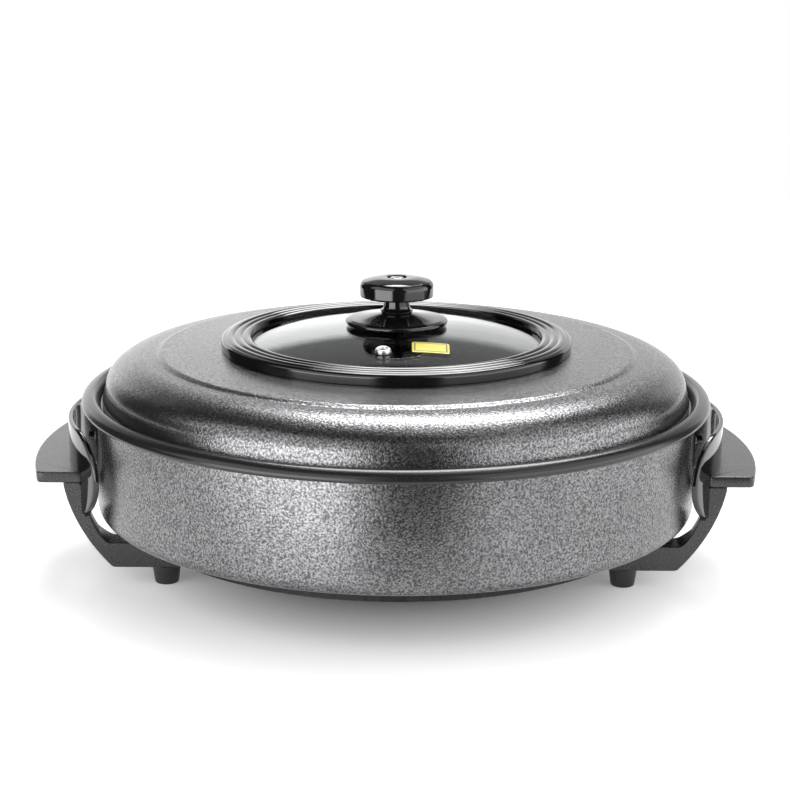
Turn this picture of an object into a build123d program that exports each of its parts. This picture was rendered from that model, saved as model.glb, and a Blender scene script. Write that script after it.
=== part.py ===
from build123d import *
from math import asin, atan2, cos, degrees, hypot, radians, sin, sqrt
import os

os.makedirs("parts", exist_ok=True)

# An electric multi pan: a round, deep, coated aluminium pan on two side handles with legs, and a
# lift-off spun lid with a glass window and a knob.
# Lengths are in millimetres, angles in degrees. The floor is z = 0, the pan's axis is Z, the handles
# point along X and the inlet looks along +X.

# Pan
rim_radius = 200.0
rim_height = 115.0
rim_band = 7.0
rim_crest_inset = 5.5
rim_edge_rise = 1.6
rim_edge_inset = 0.8
rim_overhang = 8.4
wall_thickness = 6.5
bottom_thickness = 5.0
bottom_edge_radius = 6.0
cooking_corner_radius = 12.0
seat_width = 3.1
seat_slope = 2.0

# Feet and legs
foot_height = 12.0
foot_top_radius = 9.0
foot_base_radius = 7.4
foot_edge_radius = 1.0
foot_inset = 48.3
pan_boss_radius = 7.0
leg_depth = 18.0
leg_front = 64.0
arm_thickness = 16.0
arm_overhang = 10.5
leg_corner_inset = 33.6
leg_belly_inset = 14.1
leg_belly_z = 38.2
leg_top_inset = 4.2
leg_crook_inset = 31.9
leg_inside_inset = 22.2
leg_inside_z = 41.5
leg_inside_top_inset = 15.5

# Handles
grip_reach = 20.5
grip_thickness = 7.0
grip_height = 73.5
grip_corner_radius = 6.0
grip_edge_radius = 1.2
guard_bend_radius = 140.0
guard_standoff = 9.5
guard_thickness = 3.0
guard_length = 164.0
guard_height = 54.0
guard_centre_z = 72.0
guard_edge_radius = 0.9

# Heating
cover_inset = 26.6
cover_depth = 11.7
cover_sheet = 0.8
element_inset = 55.0
element_tube_radius = 3.5
element_bend = 14.0
terminal_y = 16.0
terminal_inset = 5.0
pin_radius = 2.5
pin_length = 16.0
bush_length = 3.0
bush_wall = 1.0
sleeve_radius = 4.0
sleeve_bore = 2.6
sleeve_length = 60.0
sleeve_cap = 2.0
clamp_sheet = 1.0
clamp_width = 12.0
sleeve_clamp_width = 8.7
clamp_boss_radius = 4.0
clamp_screw_spread = 14.0
clamp_angles = (90, 180, 270)
sleeve_clamp_inset = 12.0
sleeve_boss_radius = 2.9
sleeve_screw_spread = 8.2
inlet_length = 12.0
inlet_back_wall = 3.0
inlet_half_width = 31.0
inlet_cavity_half_width = 22.0
inlet_depth = 14.0
inlet_floor = 2.5
inlet_gap = 1.0
window_margin = 3.0
window_lip = 1.0

# Lid
lid_seat_gap = 0.3
lid_play = 1.4
lid_sheet = 1.5
lid_hem_width = 3.0
lid_hem_height = 2.2
lid_skirt_rise = 2.6
lid_shoulder_inset = 2.3
lid_shoulder_rise = 11.2
lid_shoulder_width = 31.5
lid_crease_rise = 31.2
lid_crease_step = 1.3
lid_deck_rise = 32.7
lid_deck_margin = 0.9
window_hole_gap = 0.4

# Window
lid_deck_width = 41.3
frame_wall_bulge = 0.3
frame_shoulder_width = 3.3
frame_shoulder_height = 2.6
frame_width = 18.7
frame_height = 7.9
frame_ridges = 3
frame_ridge_drop = 0.8
glass_bend_radius = 394.0
glass_thickness = 4.0
glass_cover = 3.8
glass_edge_rise = 2.424
gasket_lip = 0.8
gasket_cover = 2.6
gasket_wall = 1.2
clamp_ring_overhang = 2.5
clamp_ring_inset = 2.0
clamp_ring_thickness = 3.6
ring_screw_count = 6
ring_screw_bite = 5.0

# Knob
flange_radius = 32.6
flange_lift = 0.2
flange_edge = 3.2
flange_lip = 1.2
flange_bulge = 0.5
flange_rise = 7.0
flange_crown = 10.4
flange_hub = 9.0
flange_hub_step = 0.6
neck_radius = 8.2
neck_foot_radius = 10.5
neck_foot_height = 1.4
neck_foot_taper = 0.6
neck_flare_height = 3.2
cap_base_rise = 17.3
cap_radius = 23.6
cap_base_chamfer = 0.8
cap_height = 12.3
cap_edge_radius = 4.4
cap_crown = 1.3
cap_bulge = 0.3
cap_recess_radius = 6.0
cap_recess_depth = 3.0
knob_head_radius = 4.5
knob_head_height = 2.2
knob_head_round = 1.0
knob_screw_radius = 2.5
knob_seal_radius = 18.0
knob_seal_skirt = 0.8
inner_seal_radius = 10.0
inner_seal_thickness = 1.3
knob_washer_radius = 9.0
knob_washer_thickness = 1.0
knob_nut_flats = 8.0
knob_nut_height = 4.0
knob_screw_tail = 1.0

# Steam vent and sticker on the glass
vent_x = -8.0
vent_y = -63.5
vent_bore = 2.2
vent_tube_radius = 3.0
vent_flange_radius = 4.8
vent_flange_edge = 1.3
vent_rise = 2.6
vent_tail = 1.2
grommet_radius = 5.2
grommet_thickness = 0.5
sticker_x = 21.0
sticker_y = -53.0
sticker_width = 23.0
sticker_depth = 17.0
sticker_corner = 3.0
sticker_thickness = 0.25

# Fasteners: shank radius, head radius, head height
foot_screw = (2.5, 4.3, 3.0)
small_screw = (1.5, 2.8, 1.8)
leg_screw = (1.75, 3.1, 2.0)
foot_counterbore_depth = 5.0
foot_screw_bite = 2.5
head_clearance = 0.3
hole_clearance = 0.25
thread_clearance = 0.05
small_screw_bite = 3.0
leg_screw_setback = 8.7
leg_screw_inset = 6.0
leg_screw_seat = 10.5
leg_counterbore_depth = 10.5
leg_screw_bite = 4.0
guard_screw_y = 36.0
guard_screw_bite = 8.0
guard_head_gap = 0.05
inlet_screw_y = 26.5

# Heights and radii that follow from the sizes above
band_z = rim_height - rim_band
arm_top_z = foot_height + arm_thickness
pan_base_z = arm_top_z + cover_depth
pan_floor_z = pan_base_z + bottom_thickness
wall_radius = rim_radius - rim_overhang
inner_radius = wall_radius - wall_thickness
seat_z = band_z
seat_radius = inner_radius + seat_width
cover_floor_z = arm_top_z + cover_sheet
foot_x = wall_radius - foot_inset
foot_y = leg_front - leg_depth / 2
arm_end_x = foot_x - arm_overhang
grip_base_z = grip_height - grip_thickness
guard_reach = rim_radius + guard_standoff
grip_radius = guard_reach + grip_reach
leg_corner = (guard_reach - leg_corner_inset, foot_height)
leg_belly = (guard_reach - leg_belly_inset, leg_belly_z)
leg_top = (guard_reach - leg_top_inset, grip_base_z)
leg_inside_top = (guard_reach - leg_inside_top_inset, grip_base_z)
leg_inside = (guard_reach - leg_inside_inset, leg_inside_z)
leg_crook = (guard_reach - leg_crook_inset, arm_top_z)
leg_screw_x = guard_reach - leg_screw_setback
guard_centre_x = guard_reach - guard_bend_radius
guard_inner_bend = guard_bend_radius - guard_thickness
cover_radius = wall_radius - cover_inset
element_radius = cover_radius - element_inset
terminal_x = cover_radius - terminal_inset
pin_reach = terminal_x + pin_length
sleeve_inner_x = pin_reach - sleeve_length
sleeve_clamp_x = sleeve_inner_x + sleeve_clamp_inset
element_z = pan_base_z - element_tube_radius
clamp_top_z = pan_base_z - 2 * element_tube_radius
clamp_base_z = clamp_top_z - clamp_sheet
sleeve_z = pan_base_z - sleeve_radius
sleeve_clamp_top_z = pan_base_z - 2 * sleeve_radius
inlet_back_x = cover_radius + inlet_gap
inlet_front = inlet_back_x + inlet_length
inlet_base_z = pan_base_z - inlet_depth
inlet_screw_x = (inlet_back_x + inlet_front) / 2
lid_z = seat_z + lid_seat_gap
lid_edge_radius = seat_radius - lid_play
lid_shoulder_radius = lid_edge_radius - lid_shoulder_inset
lid_crease_radius = lid_shoulder_radius - lid_shoulder_width
frame_outer_radius = lid_crease_radius - lid_deck_width
frame_inner_radius = frame_outer_radius - frame_width
glass_radius = frame_inner_radius + glass_cover
deck_z = lid_z + lid_deck_rise
shoulder_z = lid_z + lid_shoulder_rise
crease_z = lid_z + lid_crease_rise
frame_top_z = deck_z + frame_height
glass_centre_z = deck_z + glass_edge_rise - sqrt(glass_bend_radius**2 - glass_radius**2)
glass_top_z = glass_centre_z + glass_bend_radius
flange_z = glass_top_z + flange_lift
knob_foot_z = flange_z + flange_rise
cap_base_z = flange_z + cap_base_rise
cap_top_z = cap_base_z + cap_height
knob_head_z = cap_top_z - cap_recess_depth
inner_seal_z = glass_top_z - glass_thickness - inner_seal_thickness
knob_washer_z = inner_seal_z - knob_washer_thickness
knob_nut_z = knob_washer_z - knob_nut_height
knob_bore = knob_screw_radius + hole_clearance


def glass_height(radius, depth=0.0):
    """Height of the glass dome at this distance from the axis, that far below its top face."""
    return glass_centre_z + sqrt((glass_bend_radius - depth) ** 2 - radius**2)


def save(part, name):
    """Label a finished piece and write it under its name."""
    part.label = name
    export_step(part, f"parts/{name}.step")


gasket_top_z = glass_height(glass_radius - gasket_cover) + gasket_lip
gasket_base_z = glass_height(glass_radius, glass_thickness) - gasket_lip
gasket_radius = glass_radius + gasket_wall
gasket_inner_radius = glass_radius - gasket_cover
window_hole_radius = gasket_radius + window_hole_gap
clamp_ring_outer = frame_outer_radius - clamp_ring_inset
clamp_ring_inner = frame_inner_radius - clamp_ring_overhang
ring_screw_circle = (gasket_radius + clamp_ring_outer) / 2
lid_deck_radius = frame_outer_radius + lid_deck_margin
clamp_ring_z = deck_z - lid_sheet - clamp_ring_thickness
foot_places = [(x * foot_x, y * foot_y) for x in (-1, 1) for y in (-1, 1)]
clamp_radii = (element_radius - clamp_screw_spread, element_radius + clamp_screw_spread)
clamp_screw_places = [
    (r * cos(radians(a)), r * sin(radians(a))) for a in clamp_angles for r in clamp_radii
]
sleeve_screw_places = [(sleeve_clamp_x, -sleeve_screw_spread), (sleeve_clamp_x, sleeve_screw_spread)]
inlet_screw_places = [(inlet_screw_x, -inlet_screw_y), (inlet_screw_x, inlet_screw_y)]

# Pan: bottom, wall, rolled rim and the seat that carries the lid, with the bosses below
with BuildPart() as pan:
    with BuildSketch(Plane.XZ):
        with BuildLine():
            edge_z = band_z + rim_edge_rise
            crest = (rim_radius - rim_crest_inset, rim_height)
            Line((0, pan_base_z), (wall_radius - bottom_edge_radius, pan_base_z))
            RadiusArc(
                (wall_radius - bottom_edge_radius, pan_base_z),
                (wall_radius, pan_base_z + bottom_edge_radius),
                -bottom_edge_radius,
            )
            Line((wall_radius, pan_base_z + bottom_edge_radius), (wall_radius, band_z))
            Line((wall_radius, band_z), (rim_radius - rim_edge_inset, band_z))
            Line((rim_radius - rim_edge_inset, band_z), (rim_radius, edge_z))
            EllipticalCenterArc((crest[0], edge_z), rim_crest_inset, rim_height - edge_z, 0, arc_size=90)
            Line(crest, (seat_radius + seat_slope, rim_height - seat_slope))
            Line((seat_radius + seat_slope, rim_height - seat_slope), (seat_radius, seat_z))
            Line((seat_radius, seat_z), (inner_radius, seat_z))
            Line((inner_radius, seat_z), (inner_radius, pan_floor_z + cooking_corner_radius))
            RadiusArc(
                (inner_radius, pan_floor_z + cooking_corner_radius),
                (inner_radius - cooking_corner_radius, pan_floor_z),
                cooking_corner_radius,
            )
            Line((inner_radius - cooking_corner_radius, pan_floor_z), (0, pan_floor_z))
            Line((0, pan_floor_z), (0, pan_base_z))
        make_face()
    revolve(axis=Axis.Z)
    with BuildSketch(Plane.XY.offset(cover_floor_z)):
        with Locations(*foot_places):
            Circle(pan_boss_radius)
    extrude(amount=pan_base_z - cover_floor_z)
    with BuildSketch(Plane.XY.offset(clamp_top_z)):
        with Locations(*clamp_screw_places):
            Circle(clamp_boss_radius)
    extrude(amount=pan_base_z - clamp_top_z)
    with BuildSketch(Plane.XY.offset(sleeve_clamp_top_z)):
        with Locations(*sleeve_screw_places):
            Circle(sleeve_boss_radius)
    extrude(amount=pan_base_z - sleeve_clamp_top_z)
    with BuildSketch(Plane.XY.offset(cover_floor_z)):
        with Locations(*foot_places):
            Circle(foot_screw[0] + thread_clearance)
    extrude(amount=pan_base_z - cover_floor_z + foot_screw_bite, mode=Mode.SUBTRACT)
    with BuildSketch(Plane.XY.offset(sleeve_clamp_top_z)):
        with Locations(*clamp_screw_places, *sleeve_screw_places, *inlet_screw_places):
            Circle(small_screw[0] + thread_clearance)
    extrude(amount=pan_base_z - sleeve_clamp_top_z + small_screw_bite, mode=Mode.SUBTRACT)
save(pan.part, "pan")

# Heating element: one sealed tube, bent to an open ring with both ends out towards the inlet
bend_x = sqrt((element_radius + element_bend) ** 2 - (terminal_y + element_bend) ** 2)
bend_angle = degrees(atan2(terminal_y + element_bend, bend_x))
with BuildPart() as heating_element:
    with BuildLine(Plane.XY.offset(element_z)) as element_path:
        Line((terminal_x, terminal_y), (bend_x, terminal_y))
        CenterArc((bend_x, terminal_y + element_bend), element_bend, 270, bend_angle - 90)
        CenterArc((0, 0), element_radius, bend_angle, 360 - 2 * bend_angle)
        CenterArc((bend_x, -terminal_y - element_bend), element_bend, 180 - bend_angle, bend_angle - 90)
        Line((bend_x, -terminal_y), (terminal_x, -terminal_y))
    with BuildSketch(Plane((terminal_x, terminal_y, element_z), z_dir=(-1, 0, 0))):
        Circle(element_tube_radius)
    sweep(path=element_path.wires()[0])
save(heating_element.part, "heating_element")

# Contact pins at the element's ends, each in an insulating bush
with BuildPart() as inlet_pins:
    for y in (-terminal_y, terminal_y):
        with BuildSketch(Plane((terminal_x, y, element_z), z_dir=(1, 0, 0))):
            Circle(pin_radius)
        extrude(amount=pin_reach - terminal_x)
    fillet(inlet_pins.faces().group_by(Axis.X)[-1].edges(), pin_radius / 2)
save(inlet_pins.part, "inlet_pins")

with BuildPart() as pin_bushes:
    for y in (-terminal_y, terminal_y):
        with BuildSketch(Plane((terminal_x, y, element_z), z_dir=(1, 0, 0))):
            Circle(pin_radius + bush_wall)
            Circle(pin_radius, mode=Mode.SUBTRACT)
        extrude(amount=bush_length)
save(pin_bushes.part, "pin_bushes")

# Sleeve for the temperature probe, closed at its inner end
with BuildPart() as probe_sleeve:
    with BuildSketch(Plane((sleeve_inner_x, 0, sleeve_z), z_dir=(1, 0, 0))):
        Circle(sleeve_radius)
    extrude(amount=pin_reach - sleeve_inner_x)
    with BuildSketch(Plane((sleeve_inner_x + sleeve_cap, 0, sleeve_z), z_dir=(1, 0, 0))):
        Circle(sleeve_bore)
    extrude(amount=pin_reach - sleeve_inner_x - sleeve_cap, mode=Mode.SUBTRACT)
save(probe_sleeve.part, "probe_sleeve")

# Flat clamps that press the element and the sleeve against the pan
for number, angle in enumerate(clamp_angles, start=1):
    with BuildPart() as clamp:
        with BuildSketch(Plane.XY.offset(clamp_base_z)):
            with Locations(Location((0, 0, 0), angle)):
                with Locations((element_radius, 0)):
                    SlotCenterToCenter(2 * clamp_screw_spread, clamp_width)
            with Locations(*clamp_screw_places):
                Circle(small_screw[0] + hole_clearance, mode=Mode.SUBTRACT)
        extrude(amount=clamp_sheet)
    save(clamp.part, f"element_clamp_{number}")

with BuildPart() as sleeve_clamp:
    with BuildSketch(Plane.XY.offset(sleeve_clamp_top_z - clamp_sheet)):
        with Locations((sleeve_clamp_x, 0)):
            SlotCenterToCenter(2 * sleeve_screw_spread, sleeve_clamp_width, rotation=90)
        with Locations(*sleeve_screw_places):
            Circle(small_screw[0] + hole_clearance, mode=Mode.SUBTRACT)
    extrude(amount=clamp_sheet)
save(sleeve_clamp.part, "sleeve_clamp")

# Screws of the clamps and the inlet, each with its head below the piece that it holds
screw_groups = (
    ("clamp_screws", clamp_screw_places, clamp_base_z, clamp_sheet + 2 * element_tube_radius),
    ("sleeve_clamp_screws", sleeve_screw_places, sleeve_clamp_top_z - clamp_sheet,
     clamp_sheet + 2 * sleeve_radius),
    ("inlet_screws", inlet_screw_places, inlet_base_z, inlet_depth),
)
for name, places, head_z, grip_length in screw_groups:
    with BuildPart() as screws:
        with BuildSketch(Plane.XY.offset(head_z)):
            with Locations(*places):
                Circle(small_screw[1])
        extrude(amount=-small_screw[2])
        with BuildSketch(Plane.XY.offset(head_z)):
            with Locations(*places):
                Circle(small_screw[0])
        extrude(amount=grip_length + small_screw_bite)
    save(screws.part, name)

# Bottom cover: a shallow sheet dish between the legs and the pan, cut out for the inlet
with BuildPart() as bottom_cover:
    with BuildSketch(Plane.XZ):
        with BuildLine():
            Polyline(
                (0, arm_top_z),
                (cover_radius, arm_top_z),
                (cover_radius, pan_base_z),
                (cover_radius - cover_sheet, pan_base_z),
                (cover_radius - cover_sheet, cover_floor_z),
                (0, cover_floor_z),
                close=True,
            )
        make_face()
    revolve(axis=Axis.Z)
    with BuildSketch(Plane.XY.offset(arm_top_z)):
        with Locations(*foot_places):
            Circle(foot_screw[0] + hole_clearance)
    extrude(amount=cover_sheet, mode=Mode.SUBTRACT)
    window_half = terminal_y + element_tube_radius + window_margin
    window_depth = 2 * sleeve_radius + window_lip
    window_reach = cover_radius - sqrt(cover_radius**2 - window_half**2) + window_margin
    with BuildSketch(Plane.YZ.offset(cover_radius - window_reach)):
        with Locations((0, pan_base_z - window_depth / 2)):
            Rectangle(2 * window_half, window_depth)
    extrude(amount=window_reach, mode=Mode.SUBTRACT)
save(bottom_cover.part, "bottom_cover")

# Inlet shroud: a moulded socket under the pan, open towards +X, with the pan as its roof
with BuildPart() as inlet_shroud:
    with BuildSketch(Plane.XY.offset(inlet_base_z)):
        with Locations(((inlet_back_x + inlet_front) / 2, 0)):
            Rectangle(inlet_front - inlet_back_x, 2 * inlet_half_width)
    extrude(amount=inlet_depth)
    with BuildSketch(Plane.XY.offset(inlet_base_z + inlet_floor)):
        with Locations(((inlet_back_x + inlet_back_wall + inlet_front) / 2, 0)):
            Rectangle(inlet_front - inlet_back_x - inlet_back_wall, 2 * inlet_cavity_half_width)
    extrude(amount=inlet_depth - inlet_floor, mode=Mode.SUBTRACT)
    for y in (-terminal_y, terminal_y):
        with BuildSketch(Plane((inlet_back_x, y, element_z), z_dir=(1, 0, 0))):
            Circle(pin_radius + hole_clearance)
        extrude(amount=inlet_back_wall, mode=Mode.SUBTRACT)
    with BuildSketch(Plane.YZ.offset(inlet_back_x)):
        with Locations((0, sleeve_z)):
            Circle(sleeve_radius)
        with Locations((0, (sleeve_z + pan_base_z) / 2)):
            Rectangle(2 * sleeve_radius, pan_base_z - sleeve_z)
    extrude(amount=inlet_back_wall, mode=Mode.SUBTRACT)
    with BuildSketch(Plane.XY.offset(inlet_base_z)):
        with Locations(*inlet_screw_places):
            Circle(small_screw[0] + hole_clearance)
    extrude(amount=inlet_depth, mode=Mode.SUBTRACT)
save(inlet_shroud.part, "inlet_shroud")

# Legs: a curved upright under each end of a handle, with an arm that runs in under the pan
leg_places = [
    (f"leg_{end}_{side}", x, y)
    for side, x in (("left", -1), ("right", 1))
    for end, y in (("front", -1), ("rear", 1))
]
for name, x, y in leg_places:
    with BuildPart() as leg:
        with BuildSketch(Plane.XZ.offset(-y * foot_y - leg_depth / 2)):
            with BuildLine():
                corner, belly, top, inside_top, inside, crook = (
                    (x * reach, height)
                    for reach, height in (
                        leg_corner, leg_belly, leg_top, leg_inside_top, leg_inside, leg_crook
                    )
                )
                Line((x * arm_end_x, foot_height), corner)
                ThreePointArc(corner, belly, top)
                Line(top, inside_top)
                ThreePointArc(inside_top, inside, crook)
                Line(crook, (x * arm_end_x, arm_top_z))
                Line((x * arm_end_x, arm_top_z), (x * arm_end_x, foot_height))
            make_face()
        extrude(amount=leg_depth)
        with BuildSketch(Plane.XY.offset(guard_centre_z - guard_height / 2)):
            with Locations((x * guard_centre_x, 0)):
                Circle(guard_bend_radius)
        extrude(amount=guard_height, mode=Mode.SUBTRACT)
        with BuildSketch(Plane.XY.offset(foot_height)):
            with Locations((x * foot_x, y * foot_y)):
                Circle(foot_screw[0] + hole_clearance)
        extrude(amount=arm_thickness, mode=Mode.SUBTRACT)
        screw_place = (x * leg_screw_x, y * (leg_front - leg_screw_inset))
        with BuildSketch(Plane.XY.offset(grip_base_z)):
            with Locations(screw_place):
                Circle(leg_screw[0] + hole_clearance)
        extrude(amount=-leg_screw_seat, mode=Mode.SUBTRACT)
        with BuildSketch(Plane.XY.offset(grip_base_z - leg_screw_seat)):
            with Locations(screw_place):
                Circle(leg_screw[1] + head_clearance)
        extrude(amount=-leg_counterbore_depth, mode=Mode.SUBTRACT)
    save(leg.part, name)

# Feet: tapered stubs under the arms, each held by a long screw that ends in the pan's boss
for number, place in enumerate(foot_places, start=1):
    with BuildPart() as foot:
        with BuildSketch(Plane.XY):
            with Locations(place):
                Circle(foot_base_radius)
        with BuildSketch(Plane.XY.offset(foot_height)):
            with Locations(place):
                Circle(foot_top_radius)
        loft(ruled=True)
        fillet(foot.faces().sort_by(Axis.Z)[0].edges(), foot_edge_radius)
        with BuildSketch(Plane.XY):
            with Locations(place):
                Circle(foot_screw[1] + head_clearance)
        extrude(amount=foot_counterbore_depth, mode=Mode.SUBTRACT)
        with BuildSketch(Plane.XY):
            with Locations(place):
                Circle(foot_screw[0] + hole_clearance)
        extrude(amount=foot_height, mode=Mode.SUBTRACT)
    save(foot.part, f"foot_{number}")

with BuildPart() as foot_screws:
    with BuildSketch(Plane.XY.offset(foot_counterbore_depth)):
        with Locations(*foot_places):
            Circle(foot_screw[1])
    extrude(amount=-foot_screw[2])
    with BuildSketch(Plane.XY.offset(foot_counterbore_depth)):
        with Locations(*foot_places):
            Circle(foot_screw[0])
    extrude(amount=pan_base_z + foot_screw_bite - foot_counterbore_depth)
save(foot_screws.part, "foot_screws")

# Grips: flat sectors round the pan's axis, cut straight at the legs and shaped to the guard
leg_screw_places = [
    (x * leg_screw_x, y * (leg_front - leg_screw_inset)) for x in (-1, 1) for y in (-1, 1)
]
guard_screw_angle = degrees(asin(guard_screw_y / guard_bend_radius))
guard_screw_z = grip_base_z + grip_thickness / 2


def guard_normal(x, y, radius):
    """Plane on the guard's bend at this radius, across the screw, with its normal outwards."""
    angle = radians(guard_screw_angle)
    direction = (x * cos(angle), y * sin(angle), 0)
    origin = (x * guard_centre_x + radius * direction[0], radius * direction[1], guard_screw_z)
    return Plane(origin, z_dir=direction)


for side, x in (("left", -1), ("right", 1)):
    with BuildPart() as grip:
        with BuildSketch(Plane.XY.offset(grip_base_z)) as grip_outline:
            Circle(grip_radius)
            with Locations((x * grip_radius, 0)):
                Rectangle(grip_radius, 2 * leg_front, mode=Mode.INTERSECT)
            with Locations((x * guard_centre_x, 0)):
                Circle(guard_bend_radius, mode=Mode.SUBTRACT)
            outer_corners = grip_outline.vertices().filter_by(
                lambda corner: abs(corner.X) > (guard_reach + grip_radius) / 2
            )
            fillet(outer_corners, grip_corner_radius)
        extrude(amount=grip_thickness)
        rim_edges = grip.edges().filter_by(
            lambda edge: hypot(edge.center().X - x * guard_centre_x, edge.center().Y)
            > guard_bend_radius + grip_edge_radius
        )
        fillet(rim_edges.filter_by(Axis.Z, reverse=True), grip_edge_radius)
        with BuildSketch(Plane.XY.offset(grip_base_z)):
            with Locations(*leg_screw_places):
                Circle(leg_screw[0] + thread_clearance)
        extrude(amount=leg_screw_bite, mode=Mode.SUBTRACT)
        for y in (-1, 1):
            with BuildSketch(guard_normal(x, y, guard_bend_radius - 1)):
                Circle(small_screw[0] + thread_clearance)
            extrude(amount=guard_screw_bite + 1, mode=Mode.SUBTRACT)
    save(grip.part, f"grip_{side}")

# Guards: bent rounded plates that stand between the pan's wall and each grip
for side, x in (("left", -1), ("right", 1)):
    with BuildPart() as guard:
        with BuildSketch(Plane.XY.offset(guard_centre_z - guard_height / 2)):
            with Locations((x * guard_centre_x, 0)):
                Circle(guard_bend_radius)
                Circle(guard_inner_bend, mode=Mode.SUBTRACT)
        extrude(amount=guard_height)
        with BuildSketch(Plane.YZ.offset(x * (guard_reach + guard_thickness))):
            with Locations((0, guard_centre_z)):
                SlotOverall(guard_length, guard_height)
        extrude(amount=-x * (guard_bend_radius + guard_thickness), mode=Mode.INTERSECT)
        fillet(guard.edges(), guard_edge_radius)
        for y in (-1, 1):
            with BuildSketch(guard_normal(x, y, guard_inner_bend - guard_thickness)):
                Circle(small_screw[0] + hole_clearance)
            extrude(amount=3 * guard_thickness, mode=Mode.SUBTRACT)
    save(guard.part, f"guard_{side}")

with BuildPart() as guard_screws:
    for x in (-1, 1):
        for y in (-1, 1):
            head_radius = guard_inner_bend - guard_head_gap
            with BuildSketch(guard_normal(x, y, head_radius)):
                Circle(small_screw[1])
            extrude(amount=-small_screw[2])
            with BuildSketch(guard_normal(x, y, head_radius)):
                Circle(small_screw[0])
            extrude(amount=guard_head_gap + guard_thickness + guard_screw_bite)
save(guard_screws.part, "guard_screws")

with BuildPart() as leg_screws:
    with BuildSketch(Plane.XY.offset(grip_base_z - leg_screw_seat)):
        with Locations(*leg_screw_places):
            Circle(leg_screw[1])
    extrude(amount=-leg_screw[2])
    with BuildSketch(Plane.XY.offset(grip_base_z - leg_screw_seat)):
        with Locations(*leg_screw_places):
            Circle(leg_screw[0])
    extrude(amount=leg_screw_seat + leg_screw_bite)
save(leg_screws.part, "leg_screws")

# Lid shell: spun sheet with a hemmed edge, a round shoulder, a crease and a flat window seat
vent_rise_from_centre = sqrt(glass_bend_radius**2 - vent_x**2 - vent_y**2)
vent_seat = Plane(
    (vent_x, vent_y, glass_centre_z + vent_rise_from_centre),
    z_dir=(vent_x, vent_y, vent_rise_from_centre),
)
ring_screw_places = [
    (
        ring_screw_circle * cos(radians(360 * n / ring_screw_count)),
        ring_screw_circle * sin(radians(360 * n / ring_screw_count)),
    )
    for n in range(ring_screw_count)
]
with BuildPart() as lid_shell:
    with BuildSketch(Plane.XZ):
        with BuildLine():
            skirt_z = lid_z + lid_skirt_rise
            hem_z = lid_z + lid_hem_height
            hem_radius = lid_edge_radius - lid_hem_width
            shoulder_top_z = crease_z - lid_crease_step
            shoulder_width = lid_shoulder_radius - lid_crease_radius
            shoulder_rise = shoulder_top_z - shoulder_z
            Line((window_hole_radius, deck_z), (lid_deck_radius, deck_z))
            Line((lid_deck_radius, deck_z), (lid_crease_radius, crease_z))
            Line((lid_crease_radius, crease_z), (lid_crease_radius, shoulder_top_z))
            EllipticalCenterArc(
                (lid_crease_radius, shoulder_z), shoulder_width, shoulder_rise, 0, arc_size=90
            )
            Line((lid_shoulder_radius, shoulder_z), (lid_edge_radius, skirt_z))
            Line((lid_edge_radius, skirt_z), (lid_edge_radius, lid_z))
            Line((lid_edge_radius, lid_z), (hem_radius, lid_z))
            Line((hem_radius, lid_z), (hem_radius, hem_z))
            Line((hem_radius, hem_z), (lid_edge_radius - lid_sheet, hem_z))
            Line((lid_edge_radius - lid_sheet, hem_z), (lid_edge_radius - lid_sheet, skirt_z))
            Line((lid_edge_radius - lid_sheet, skirt_z), (lid_shoulder_radius - lid_sheet, shoulder_z))
            EllipticalCenterArc(
                (lid_crease_radius, shoulder_z),
                shoulder_width - lid_sheet,
                shoulder_rise - lid_sheet,
                0,
                arc_size=90,
            )
            Line(
                (lid_crease_radius, shoulder_top_z - lid_sheet),
                (lid_crease_radius - lid_sheet, crease_z - lid_sheet),
            )
            Line(
                (lid_crease_radius - lid_sheet, crease_z - lid_sheet),
                (lid_deck_radius, deck_z - lid_sheet),
            )
            Line((lid_deck_radius, deck_z - lid_sheet), (window_hole_radius, deck_z - lid_sheet))
            Line((window_hole_radius, deck_z - lid_sheet), (window_hole_radius, deck_z))
        make_face()
    revolve(axis=Axis.Z)
    with BuildSketch(Plane.XY.offset(deck_z - lid_sheet)):
        with Locations(*ring_screw_places):
            Circle(small_screw[0] + hole_clearance)
    extrude(amount=lid_sheet, mode=Mode.SUBTRACT)
save(lid_shell.part, "lid_shell")

# Window glass: a shallow dome with a hole for the knob's screw and one for the steam vent
with BuildPart() as window_glass:
    with BuildSketch(Plane.XZ):
        with BuildLine():
            mid = glass_radius / 2
            Line((knob_bore, glass_height(knob_bore, glass_thickness)), (knob_bore, glass_height(knob_bore)))
            ThreePointArc(
                (knob_bore, glass_height(knob_bore)),
                (mid, glass_height(mid)),
                (glass_radius, glass_height(glass_radius)),
            )
            Line(
                (glass_radius, glass_height(glass_radius)),
                (glass_radius, glass_height(glass_radius, glass_thickness)),
            )
            ThreePointArc(
                (glass_radius, glass_height(glass_radius, glass_thickness)),
                (mid, glass_height(mid, glass_thickness)),
                (knob_bore, glass_height(knob_bore, glass_thickness)),
            )
        make_face()
    revolve(axis=Axis.Z)
    with BuildSketch(vent_seat.offset(-2 * glass_thickness)):
        Circle(vent_tube_radius)
    extrude(amount=3 * glass_thickness, mode=Mode.SUBTRACT)
save(window_glass.part, "window_glass")

# Gasket: a soft channel round the glass's edge
with BuildPart() as window_gasket:
    with BuildSketch(Plane.XY.offset(gasket_base_z)):
        Circle(gasket_radius)
        Circle(gasket_inner_radius, mode=Mode.SUBTRACT)
    extrude(amount=gasket_top_z - gasket_base_z)
    add(window_glass.part, mode=Mode.SUBTRACT)
save(window_gasket.part, "window_gasket")

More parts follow.
